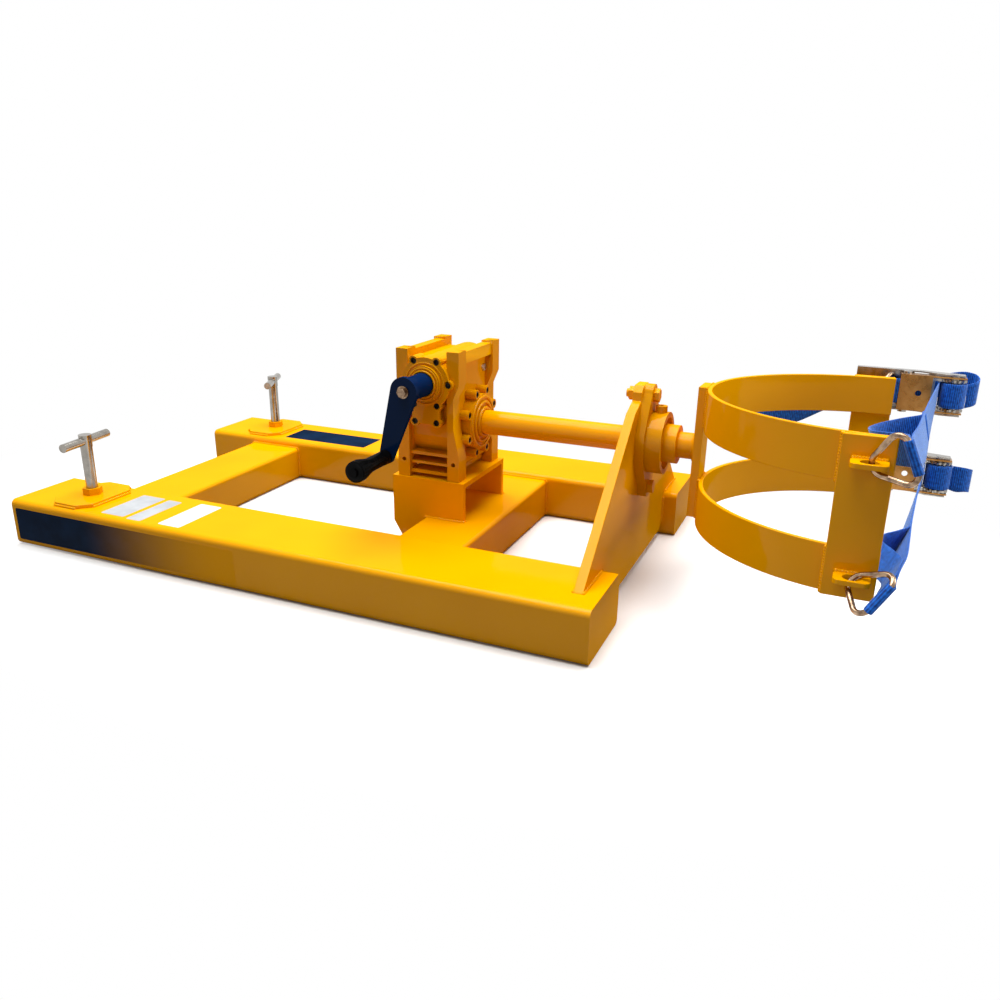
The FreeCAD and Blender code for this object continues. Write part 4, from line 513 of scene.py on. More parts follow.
class Bench:
    """Small modelling steps that every sub-assembly uses."""

    @staticmethod
    def clear() -> None:
        """Leave edit mode and deselect everything."""
        if bpy.context.object and bpy.context.object.mode != "OBJECT":
            bpy.ops.object.mode_set(mode="OBJECT")
        bpy.ops.object.select_all(action="DESELECT")

    @staticmethod
    def named(name: str) -> bpy.types.Object:
        """Name the object just made.

        Args:
            name: Name of the object and its mesh.

        Returns:
            The object.
        """
        piece = bpy.context.object
        piece.name = name
        piece.data.name = name
        return piece

    @staticmethod
    def select(piece: bpy.types.Object) -> None:
        """Make one object the only selected and active one.

        Args:
            piece: The object.
        """
        Bench.clear()
        piece.select_set(True)
        bpy.context.view_layer.objects.active = piece

    @staticmethod
    def linked(name: str, data: bpy.types.ID) -> bpy.types.Object:
        """Put new data into the scene as an object.

        Args:
            name: Name of the object.
            data: Its mesh or curve.

        Returns:
            The object, selected and active.
        """
        piece = bpy.data.objects.new(name, data)
        bpy.context.scene.collection.objects.link(piece)
        Bench.select(piece)
        return piece

    @staticmethod
    def apply(piece: bpy.types.Object) -> None:
        """Apply all modifiers of a piece, then its place, turn and scale.

        Args:
            piece: The object.
        """
        Bench.select(piece)
        for modifier in list(piece.modifiers):
            bpy.ops.object.modifier_apply(modifier=modifier.name)
        bpy.ops.object.transform_apply(location=True, rotation=True, scale=True)

    @staticmethod
    def smooth(piece: bpy.types.Object, degrees: float = 35.0) -> None:
        """Shade a piece smooth up to an angle."""
        Bench.select(piece)
        bpy.ops.object.shade_smooth_by_angle(angle=math.radians(degrees))

    @staticmethod
    def round_off(piece: bpy.types.Object, width: float, degrees: float) -> None:
        """Put a bevel on the sharp edges of a piece, to be applied.

        Args:
            piece: The object.
            width: Width of the bevel.
            degrees: Least angle of a sharp edge.
        """
        modifier = piece.modifiers.new("edges", "BEVEL")
        modifier.width = width
        modifier.segments = 2
        modifier.limit_method = "ANGLE"
        modifier.angle_limit = math.radians(degrees)

    @staticmethod
    def bevel(piece: bpy.types.Object, width: float, degrees: float = 35.0) -> None:
        """Round the sharp edges of a piece and keep its flat faces evenly shaded.

        Args:
            piece: The object.
            width: Width of the rounding.
            degrees: Least angle of a sharp edge.
        """
        Bench.round_off(piece, width, degrees)
        Bench.apply(piece)
        Bench.smooth(piece, degrees)
        flats = piece.modifiers.new("flat_faces", "WEIGHTED_NORMAL")
        flats.keep_sharp = True
        flats.weight = 100
        Bench.apply(piece)

    @staticmethod
    def carve(piece: bpy.types.Object, tool: bpy.types.Object) -> None:
        """Cut a tool out of a piece and take the tool away.

        Args:
            piece: The object that is cut.
            tool: The form that is cut out of it.
        """
        cut = piece.modifiers.new("cut", "BOOLEAN")
        cut.operation = "DIFFERENCE"
        cut.object = tool
        Bench.apply(piece)
        bpy.data.objects.remove(tool)

    @staticmethod
    def copied(node: str) -> bpy.types.Object:
        """Copy a CAD node with its doubled points merged and its flat faces joined.

        Args:
            node: The CAD node.

        Returns:
            The copy.
        """
        piece = Bench.linked(f"{node}_finished", FRAME["nodes"][node].data.copy())
        with Editing(piece):
            bpy.ops.mesh.remove_doubles(threshold=MERGE_DISTANCE)
            bpy.ops.mesh.dissolve_limited(angle_limit=FLAT_ANGLE)
        return piece

    @staticmethod
    def paint(piece: bpy.types.Object, material: bpy.types.Material) -> None:
        """Give a piece one material."""
        piece.data.materials.clear()
        piece.data.materials.append(material)

    @staticmethod
    def join(pieces: list[bpy.types.Object], name: str) -> bpy.types.Object:
        """Join pieces into one object.

        Args:
            pieces: The objects to join.
            name: Name of the result.

        Returns:
            The joined object.
        """
        Bench.clear()
        for piece in pieces:
            piece.select_set(True)
        bpy.context.view_layer.objects.active = pieces[0]
        bpy.ops.object.join()
        return Bench.named(name)

    @staticmethod
    def lathe(name: str, profile: list[Pair], centre: Point, facing: Facing = Facing.NEAR,
              closed: bool = False, steps: int = 40) -> bpy.types.Object:
        """Turn a profile about an axis through centre.

        Args:
            name: Name of the piece.
            profile: Pairs of distance along the axis and radius, from end to end.
            centre: Where the profile's distance zero lies.
            facing: Where the axis points.
            closed: Whether the profile closes on itself, as a ring's does.
            steps: Faces round the axis.

        Returns:
            The turned piece.
        """
        Bench.clear()
        bpy.ops.mesh.primitive_circle_add(vertices=steps, radius=profile[0][1], location=(0, 0, 0),
                                          rotation=(math.pi / 2, 0, 0),
                                          fill_type="NOTHING" if closed else "NGON")
        piece = Bench.named(name)
        Bench.apply(piece)
        at, radius = profile[0]
        rest = profile[1:] + profile[:1] if closed else profile[1:]
        with Editing(piece):
            bpy.ops.transform.translate(value=(0, -at, 0))
            for next_at, next_radius in rest:
                bpy.ops.mesh.extrude_region_move(TRANSFORM_OT_translate={"value": (0, at - next_at, 0)})
                share = next_radius / radius
                bpy.ops.transform.resize(value=(share, 1, share), center_override=(0, -next_at, 0))
                at, radius = next_at, next_radius
            bpy.ops.mesh.select_all(action="SELECT")
            bpy.ops.mesh.remove_doubles(threshold=MERGE_DISTANCE)
            bpy.ops.mesh.normals_make_consistent(inside=False)
        piece.rotation_euler = (0, 0, facing.value)
        piece.location = centre
        Bench.apply(piece)
        return piece


def tilt(point: Point | Vector) -> Vector:
    """Turn a point of the level clamp to the angle that the clamp stands at."""
    pivot = Vector((0, 0, SHAFT_HEIGHT))
    return Matrix.Rotation(CLAMP_TURN, 3, "X") @ (Vector(point) - pivot) + pivot


def body_name(node: str) -> str:
    """Return the body that a CAD node belongs to."""
    bodies = FRAME["record"]["behaviour"]["bodies"]
    return next(body for body, nodes in bodies.items() if node in nodes)


@dataclass
class Dressing:
    """Finishes for the CAD nodes that show as they are."""

    finishes: Finishes

    def build(self) -> None:
        """Give each node its finish."""
        slots = {"yellow_paint": self.finishes.enamel, "navy_paint": self.finishes.navy,
                 "black_plastic": self.finishes.nylon, "bright_zinc": self.finishes.zinc,
                 "yellow_zinc": self.finishes.passivated, "dark_screws": self.finishes.screw,
                 "gear_steel": self.finishes.ground, "gear_bronze": self.finishes.bronze,
                 "blue_webbing": self.finishes.webbing}
        exceptions = {"bearing_inner_ring": self.finishes.enamel, "bearing_outer_ring": self.finishes.enamel,
                      "crank_bolt": self.finishes.passivated, "grip_pin": self.finishes.nylon}
        for part in FRAME["record"]["subparts"]:
            name = part["node"]
            Bench.paint(FRAME["nodes"][name], exceptions.get(name, slots[part["material_slot"]]))


@dataclass
class SoftEdges:
    """Copies of the CAD plates and castings with their sharp edges rounded.

    The gearbox casing is also opened between the ribs of its feet, back to its round drum.
    """

    finishes: Finishes
    plate_edge: float = 1.6 * MM
    cast_edge: float = 2.2 * MM
    sheet_edge: float = 0.7 * MM
    plates: tuple[str, ...] = ("front_plate", "gearbox_bracket", "upper_hoop", "lower_hoop", "end_plates",
                               "spine_plate", "strap_lugs", "screw_base_plates")
    castings: tuple[str, ...] = ("gearbox_casing", "bearing_housing", "input_cover", "gearbox_covers")
    pressings: tuple[str, ...] = ("upper_ratchet_handle", "lower_ratchet_handle")
    channels: tuple[str, ...] = ("upper_ratchet_frame", "lower_ratchet_frame")
    drum_radius: float = 86 * MM
    drum_length: float = 1.0
    gap_length: float = 85 * MM
    gap_near: float = 20 * MM
    gap_far: float = 106 * MM
    gap_levels: tuple[Pair, ...] = ((0.1865, 0.2005), (0.2055, 0.2195), (0.2260, 0.2780))

    def drum(self) -> bpy.types.Object:
        """Model the round drum that the gaps leave standing.

        Returns:
            The drum, longer than the casing.
        """
        Bench.clear()
        bpy.ops.mesh.primitive_cylinder_add(vertices=96, radius=self.drum_radius, depth=self.drum_length,
                                            location=(GEARBOX_X, 0, SHAFT_HEIGHT),
                                            rotation=(0, math.pi / 2, 0))
        piece = Bench.named("drum")
        Bench.apply(piece)
        return piece

    def open_gaps(self, casing: bpy.types.Object) -> None:
        """Open the gaps between the ribs of the gearbox feet, back to the drum.

        Args:
            casing: The copy of the casing.
        """
        blocks = []
        middle = (self.gap_near + self.gap_far) / 2
        for low, high in self.gap_levels:
            for side in (-1, 1):
                Bench.clear()
                bpy.ops.mesh.primitive_cube_add(size=1.0,
                                                location=(GEARBOX_X, side * middle, (low + high) / 2))
                block = Bench.named("gap")
                block.scale = (self.gap_length, self.gap_far - self.gap_near, high - low)
                Bench.apply(block)
                blocks.append(block)
        gaps = Bench.join(blocks, "gaps")
        Bench.carve(gaps, self.drum())
        Bench.carve(casing, gaps)

    def build(self) -> None:
        """Make the rounded copies."""
        groups = ((self.plates, self.plate_edge, self.finishes.enamel),
                  (self.castings, self.cast_edge, self.finishes.cast),
                  (self.pressings, self.sheet_edge, self.finishes.zinc),
                  (self.channels, self.sheet_edge, self.finishes.brown))
        for nodes, width, material in groups:
            for node in nodes:
                piece = Bench.copied(node)
                if node == "gearbox_casing":
                    self.open_gaps(piece)
                Bench.paint(piece, material)
                Bench.bevel(piece, width)
                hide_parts(node)
                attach(piece, body_name(node))
                LOG.info("rounded the edges of %s", node)


@dataclass
class Welds:
    """Rippled weld beads along the joints of the frame and the clamp."""

    finishes: Finishes
    bead: float = 3.6 * MM
    pitch: float = 4.2 * MM
    ripple: Point = (1.15, 1.0, 1.0)
    # Inner faces of the fork tubes off the middle, and how far beads stay off a corner.
    corner: float = 0.004
    tube_face: float = 0.2335
    # Rear face and top of each cross tube.
    cross_tubes: tuple[Pair, ...] = ((0.131, 0.082), (0.831, 0.090))
    cross_depth: float = 0.145
    cross_foot: float = 0.008
    # Front plate: its two faces, the beads on the tubes' tops and the upright ones.
    plate_faces: Pair = (1.236, 1.254)
    plate_run: Pair = (0.246, 0.346)
    plate_top: float = 0.100
    plate_rise: Pair = (0.034, 0.088)
    # Gearbox bracket: side beads, upright ones at the rear and short ones at the front.
    bracket_side: float = 0.1045
    bracket_run: Pair = (0.833, 0.917)
    bracket_ends: Pair = (0.831, 0.919)
    bracket_rise: Pair = (0.016, 0.088)
    bracket_return: Pair = (0.096, 0.104)
    bracket_top: float = 0.090
    # Screw base plates: middle, half sizes to the beads and half lengths of these.
    base: Pair = (0.142, 0.3205)
    base_half: Pair = (0.0525, 0.075)
    base_run: Pair = (0.026, 0.048)
    base_top: float = 0.101
    # Hoops with the spine, the end plates and the strap lugs, on the level clamp.
    hoop_levels: Pair = (0.360, 0.186)
    hoop_half: float = 0.035
    spine: Pair = (1.3735, 0.030)
    hoop_end: Pair = (1.617, 0.309)
    lug_run: Pair = (1.636, 1.680)
    lug_side: float = 0.3185
    lug_half: float = 0.004
    # Ring weld between the shaft and the spine.
    collar_x: float = 1.3565
    collar_radius: float = 0.026
    collar_unevenness: float = 0.5 * MM

    def frame_lines(self) -> list[Line]:
        """List the welded joints of the frame.

        Returns:
            Start and end of each bead.
        """
        lines: list[Line] = []
        for side in (-1, 1):
            y = side * self.tube_face
            for start, top in self.cross_tubes:
                end = start + self.cross_depth
                lines.append(((start + self.corner, y, top), (end - self.corner, y, top)))
                lines += [((x, y, self.cross_foot), (x, y, top - self.corner)) for x in (start, end)]
            inner, outer = (side * reach for reach in self.plate_run)
            low, high = self.plate_rise
            for x in self.plate_faces:
                lines.append(((x, inner, self.plate_top), (x, outer, self.plate_top)))
                lines.append(((x, y, low), (x, y, high)))
            y, z = side * self.bracket_side, self.bracket_top
            (start, end), (rear, front) = self.bracket_run, self.bracket_ends
            low, high = self.bracket_rise
            inner, outer = (side * reach for reach in self.bracket_return)
            lines += [((start, y, z), (end, y, z)), ((rear, y, low), (rear, y, high)),
                      ((front, inner, z), (front, outer, z))]
            x, y, z = self.base[0], side * self.base[1], self.base_top
            (half_x, half_y), (run_x, run_y) = self.base_half, self.base_run
            lines += [((x + end, y - run_y, z), (x + end, y + run_y, z)) for end in (-half_x, half_x)]
            lines += [((x - run_x, y + end, z), (x + run_x, y + end, z)) for end in (-half_y, half_y)]
        return lines

    def clamp_lines(self) -> list[Line]:
        """List the welded joints of the level clamp.

        Returns:
            Start and end of each bead.
        """
        lines: list[Line] = []
        for middle in self.hoop_levels:
            low, high = middle - self.hoop_half, middle + self.hoop_half
            for side in (-1, 1):
                lines += [((x, side * y, low), (x, side * y, high)) for x, y in (self.spine, self.hoop_end)]
                start, end = self.lug_run
                y = side * self.lug_side
                lines += [((start, y, middle + lift), (end, y, middle + lift))
                          for lift in (-self.lug_half, self.lug_half)]
        return lines

    def bead_along(self, start: Vector, end: Vector) -> bpy.types.Object:
        """Model one bead as a row of overlapping ripples.

        Args:
            start: Where the bead starts.
            end: Where it ends.

        Returns:
            The bead.
        """
        run = end - start
        Bench.clear()
        bpy.ops.mesh.primitive_uv_sphere_add(segments=8, ring_count=5, radius=self.bead, location=(0, 0, 0))
        piece = Bench.named("bead")
        piece.scale = self.ripple
        Bench.apply(piece)
        row = piece.modifiers.new("row", "ARRAY")
        row.use_relative_offset = False
        row.use_constant_offset = True
        row.count = max(2, int(run.length / self.pitch) + 1)
        row.constant_offset_displace = (run.length / (row.count - 1), 0, 0)
        piece.rotation_euler = run.to_track_quat("X", "Z").to_euler()
        piece.location = start
        Bench.apply(piece)
        return piece

    def collar(self) -> bpy.types.Object:
        """Model the ring weld between the shaft and the spine.

        Returns:
            The ring weld.
        """
        Bench.clear()
        bpy.ops.mesh.primitive_torus_add(major_radius=self.collar_radius, minor_radius=self.bead,
                                         major_segments=48, minor_segments=8,
                                         location=(self.collar_x, 0, SHAFT_HEIGHT),
                                         rotation=(0, math.pi / 2, 0))
        piece = Bench.named("shaft_weld")
        Bench.apply(piece)
        with Editing(piece):
            bpy.ops.transform.vertex_random(offset=self.collar_unevenness, uniform=0.2, normal=1.0, seed=7)
        return piece

    def build(self) -> None:
        """Model the beads of both bodies."""
        frame = [self.bead_along(Vector(a), Vector(b)) for a, b in self.frame_lines()]
        clamp = [self.bead_along(tilt(a), tilt(b)) for a, b in self.clamp_lines()] + [self.collar()]
        for beads, name, body in ((frame, "frame_welds", Body.FRAME), (clamp, "clamp_welds", Body.CLAMP)):
            piece = Bench.join(beads, name)
            Bench.smooth(piece, degrees=60)
            Bench.paint(piece, self.finishes.enamel)
            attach(piece, body.value)
            LOG.info("laid %d beads in %s", len(beads), name)


@dataclass(frozen=True)
class Panel:
    """One film panel.

    Attributes:
        name: Name of the piece.
        centre: Its middle on the face that it sticks to.
        width: Size along X.
        depth: Its other size.
        colour: Which film it is.
        upright: Whether it sticks to the tube's side instead of its top.
    """

    name: str
    centre: Point
    width: float
    depth: float
    colour: FilmColour
    upright: bool = False


PANELS = (
    Panel("near_side_film", (0.2945, -0.4079, 0.048), 0.571, 0.070, FilmColour.FADING, upright=True),
    Panel("far_top_film", (0.340, 0.302, 0.0999), 0.244, 0.088, FilmColour.NAVY),
    Panel("near_top_film_a", (0.262, -0.328, 0.0999), 0.060, 0.120, FilmColour.SILVER),
    Panel("near_top_film_b", (0.322, -0.332, 0.0999), 0.036, 0.122, FilmColour.SILVER),
    Panel("near_top_film_c", (0.409, -0.325, 0.0999), 0.054, 0.128, FilmColour.WHITE),
)


@dataclass
class BareFilms:
    """Bare film panels on the fork tubes."""

    finishes: Finishes
    thickness: float = 0.35 * MM
    corner: float = 4.0 * MM

    def build(self) -> None:
        """Model the panels with their rounded corners."""
        for panel in PANELS:
            Bench.clear()
            bpy.ops.mesh.primitive_plane_add(size=1.0, location=(0, 0, 0))
            piece = Bench.named(panel.name)
            piece.scale = (panel.width, panel.depth, 1.0)
            Bench.apply(piece)
            with Editing(piece):
                bpy.ops.mesh.bevel(offset=self.corner, segments=5, affect="VERTICES")
                bpy.ops.mesh.extrude_region_move(TRANSFORM_OT_translate={"value": (0, 0, self.thickness)})
                bpy.ops.mesh.select_all(action="SELECT")
                bpy.ops.mesh.normals_make_consistent(inside=False)
            piece.rotation_euler = (math.pi / 2 if panel.upright else 0.0, 0.0, 0.0)
            piece.location = panel.centre
            Bench.apply(piece)
            material = self.finishes.films[panel.colour]
            Bench.paint(piece, material)
            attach(piece, Body.FRAME.value)
        LOG.info("stuck on %d bare films", len(PANELS))


@dataclass
class CrankGrip:
    """Ribbed nylon grip that turns on the crank's pin: a waisted part, then ribs that grow to a flare."""

    finishes: Finishes
    throw: float = 0.138
    hang: float = math.radians(17.5)
    arm_face: float = -0.199
    length: float = 116 * MM
    radius: float = 14.6 * MM
    flare: float = 20.6 * MM
    bore: float = 7.2 * MM
    nose: float = 13.5 * MM
    ease: float = 2 * MM
    waist: float = 0.6 * MM
    waist_shares: Pair = (0.3, 0.7)
    ribbed: float = 40 * MM
    end: float = 4 * MM
    groove: float = 1.4 * MM
    ribs: int = 7
    # Where a rib's crest and groove start and end in its pitch.
    rib_shares: tuple[float, ...] = (0.2, 0.65, 0.8, 0.98)

    def profile(self) -> list[Pair]:
        """List the turned profile, from the arm to the free end.

        Returns:
            Pairs of distance along the axis and radius.
        """
        body = self.length - self.ribbed - self.end
        points = [(0.0, self.bore), (0.0, self.nose), (self.ease, self.radius)]
        points += [(body * share, self.radius - self.waist) for share in self.waist_shares]
        points.append((body, self.radius))
        step = self.ribbed / self.ribs
        for rib in range(self.ribs):
            crest = self.radius + (self.flare - self.radius) * min(1.0, (rib + 1) / (self.ribs - 2))
            root = crest - self.groove
            points += [(body + (rib + share) * step, radius)
                       for share, radius in zip(self.rib_shares, (crest, crest, root, root))]
        return points + [(self.length - self.ease, self.flare - self.ease / 2),
                         (self.length, self.flare - 2 * self.ease), (self.length, self.bore)]

    def build(self) -> None:
        """Model the grip."""
        centre = (GEARBOX_X - self.throw * math.sin(self.hang), self.arm_face,
                  WORM_HEIGHT - self.throw * math.cos(self.hang))
        piece = Bench.lathe("ribbed_grip", self.profile(), centre)
        Bench.smooth(piece, degrees=40)
        Bench.paint(piece, self.finishes.nylon)
        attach(piece, Body.GRIP.value)
        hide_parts("grip")
        LOG.info("turned the crank grip")


@dataclass(frozen=True)
class Lip:
    """One raised ring on a gearbox cover, its radii and height in millimetres.

    Attributes:
        centre: Middle of the ring on its cover's face.
        facing: Where that face points.
        inner: Inside radius.
        outer: Outside radius.
        rise: How far it stands off the face.
    """

    centre: Point
    facing: Facing
    inner: float
    outer: float
    rise: float


INPUT_FACE = (GEARBOX_X, -0.110, WORM_HEIGHT)
SEAL_FACE = (GEARBOX_X, -0.117, WORM_HEIGHT)
END_FACE = (GEARBOX_X, 0.106, WORM_HEIGHT)
FRONT_FACE = (0.914, 0.0, SHAFT_HEIGHT)
REAR_FACE = (0.762, 0.0, SHAFT_HEIGHT)
LIPS = (
    Lip(INPUT_FACE, Facing.NEAR, 39.5, 42.5, 1.8),
    Lip(SEAL_FACE, Facing.NEAR, 30.0, 33.0, 1.6),
    Lip(SEAL_FACE, Facing.NEAR, 24.2, 27.5, 4.5),
    Lip(END_FACE, Facing.FAR, 30.0, 36.0, 1.6),
    Lip(FRONT_FACE, Facing.FRONT, 49.0, 55.0, 3.0),
    Lip(FRONT_FACE, Facing.FRONT, 38.0, 43.5, 5.0),
    Lip(REAR_FACE, Facing.REAR, 49.0, 55.0, 3.0),
    Lip(REAR_FACE, Facing.REAR, 38.0, 43.5, 5.0),
    Lip(FRONT_FACE, Facing.FRONT, 26.0, 32.0, 8.0),
)


@dataclass
class GearboxTrim:
    """Turned rings on the gearbox covers, hexagon oil plugs and cap screws sunk in their seats."""

    finishes: Finishes
    edge: float = 0.7 * MM
    bed: float = 0.5 * MM
    plug_spots: tuple[Point, ...] = ((0.890, 0.055, 0.382), (0.890, 0.055, 0.234))
    plug_radius: float = 8 * MM
    # Sides of a plug's collar and head, with where each starts and ends off the casing.
    plug_forms: tuple[tuple[int, float, float], ...] = ((24, -9 * MM, 2 * MM), (6, 0.0, 5 * MM))
    screw_sink: float = 1.4 * MM

    def turned(self, lip: Lip) -> bpy.types.Object:
        """Turn one raised ring with eased edges.

        Args:
            lip: The ring's place and size.

        Returns:
            The ring.
        """
        low, high, top = lip.inner * MM, lip.outer * MM, lip.rise * MM
        profile = [(-self.bed, high), (top - self.edge, high), (top, high - self.edge),
                   (top, low + self.edge), (top - self.edge, low), (-self.bed, low)]
        return Bench.lathe("lip", profile, lip.centre, lip.facing, closed=True, steps=64)

    def rings(self) -> None:
        """Turn the raised rings of all covers."""
        piece = Bench.join([self.turned(lip) for lip in LIPS], "cover_rings")
        Bench.smooth(piece, degrees=50)
        Bench.paint(piece, self.finishes.cast)
        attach(piece, Body.FRAME.value)

    def plugs(self) -> None:
        """Model the hexagon plugs with their collars."""
        pieces = []
        for x, y, z in self.plug_spots:
            for sides, low, high in self.plug_forms:
                Bench.clear()
                bpy.ops.mesh.primitive_cylinder_add(vertices=sides, radius=self.plug_radius,
                                                    depth=high - low, location=(x + (low + high) / 2, y, z),
                                                    rotation=(0, math.pi / 2, 0))
                pieces.append(Bench.named("plug"))
                Bench.bevel(pieces[-1], self.edge)
        piece = Bench.join(pieces, "hexagon_plugs")
        Bench.paint(piece, self.finishes.plug)
        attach(piece, Body.FRAME.value)
        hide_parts("oil_plugs")

    def screws(self) -> None:
        """Sink the heads of the cover screws a little into their seats."""
        piece = Bench.copied("cover_screws")
        sink = piece.modifiers.new("sink", "DISPLACE")
        sink.mid_level = 0.0
        sink.strength = -self.screw_sink
        Bench.apply(piece)
        Bench.smooth(piece)
        Bench.paint(piece, self.finishes.screw)
        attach(piece, Body.FRAME.value)
        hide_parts("cover_screws")

    def build(self) -> None:
        """Model the trim."""
        self.rings()
        self.plugs()
        self.screws()
        LOG.info("trimmed the gearbox")


@dataclass(frozen=True)
class RingPlace:
    """How one delta ring hangs in its lug, in degrees and millimetres.

    Attributes:
        side: Which side of the clamp it is on, -1 for the near one.
        rise: Height of its lug hole over the clamp's middle.
        yaw: Turn about Z.
        lift: How far its bar is lifted.
        roll: Turn about its own length.
        seat: How far it is moved along its own length, off the middle of the hole.
    """

    side: int
    rise: float
    yaw: float
    lift: float
    roll: float
    seat: float

    def turn(self) -> Matrix:
        """Work out how the ring is turned.

        Returns:
            The rotation, before the clamp's own.
        """
        turns = ((self.yaw, "Z"), (-self.lift, "Y"), (self.roll, "X"))
        yaw, lift, roll = (Matrix.Rotation(math.radians(angle), 3, axis) for angle, axis in turns)
        return yaw @ lift @ roll


RING_PLACES = {
    "upper_near_ring": RingPlace(-1, 83.0, -26.0, 24.0, 6.0, 1.0),
    "lower_near_ring": RingPlace(-1, -87.0, -48.0, -4.0, -42.0, -4.0),
    "upper_far_ring": RingPlace(1, 87.0, 60.0, 0.0, 0.0, 2.7),
    "lower_far_ring": RingPlace(1, -87.0, 60.0, 0.0, 0.0, 2.7),
}


@dataclass
class DeltaRings:
    """Delta rings of bent wire with full round corners.

    Attributes:
        finishes: All finishes.
        hole: Middle of the far lug holes, at the clamp's middle height.
        wire: Radius of the wire.
        half: Half the width of the triangle that the wire's middle line rounds off.
        reach: Distance from the hole to the bar.
        back: Distance from the hole back to the triangle's apex.
        apex_bend: Radius of the bend at the apex.
        corner_bend: Radius of the other two bends.
        arc_steps: Cuts in each bend.
    """

    finishes: Finishes
    hole: Point = (1.658, 0.339, 0.273)
    wire: float = 4.5 * MM
    half: float = 47.0 * MM
    reach: float = 64.0 * MM
    back: float = 12.0 * MM
    apex_bend: float = 18.0 * MM
    corner_bend: float = 15.0 * MM
    arc_steps: int = 10

    def path(self) -> list[Vector]:
        """Work out the wire's middle line.

        Returns:
            Points round a triangle with round corners and its bar across +X.
        """
        corners = [Vector((-self.back, 0, 0)), Vector((self.reach, 0, self.half)),
                   Vector((self.reach, 0, -self.half))]
        points: list[Vector] = []
        for i, bend in enumerate((self.apex_bend, self.corner_bend, self.corner_bend)):
            before = (corners[i - 1] - corners[i]).normalized()
            after = (corners[(i + 1) % 3] - corners[i]).normalized()
            half_angle = before.angle(after) / 2
            middle = (before + after).normalized() * bend / math.sin(half_angle)
            cut = bend / math.tan(half_angle)
            first, last = before * cut - middle, after * cut - middle
            points += [corners[i] + middle + first.slerp(last, k / self.arc_steps).normalized() * bend
                       for k in range(self.arc_steps + 1)]
        return points

    def bent(self, name: str, points: list[Vector]) -> bpy.types.Object:
        """Bend one wire into a closed ring.

        Args:
            name: Name of the ring.
            points: Its middle line.

        Returns:
            The ring.
        """
        curve = bpy.data.curves.new(name, "CURVE")
        curve.dimensions = "3D"
        curve.bevel_depth = self.wire
        curve.bevel_resolution = 4
        line = curve.splines.new("POLY")
        line.points.add(len(points) - 1)
        for knot, point in zip(line.points, points):
            knot.co = (*point, 1.0)
        line.use_cyclic_u = True
        Bench.linked(f"{name}_finished", curve)
        bpy.ops.object.convert(target="MESH")
        return bpy.context.object

    def build(self) -> None:
        """Model the four rings."""
        x, y, z = self.hole
        for node, place in RING_PLACES.items():
            turn = place.turn()
            spot = Vector((x, place.side * y, z + place.rise * MM)) + turn @ Vector((place.seat * MM, 0, 0))
            piece = self.bent(node, [tilt(turn @ point + spot) for point in self.path()])
            Bench.smooth(piece, degrees=60)
            Bench.paint(piece, self.finishes.passivated)
            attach(piece, body_name(node))
            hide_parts(node)
        LOG.info("bent %d rings", len(RING_PLACES))


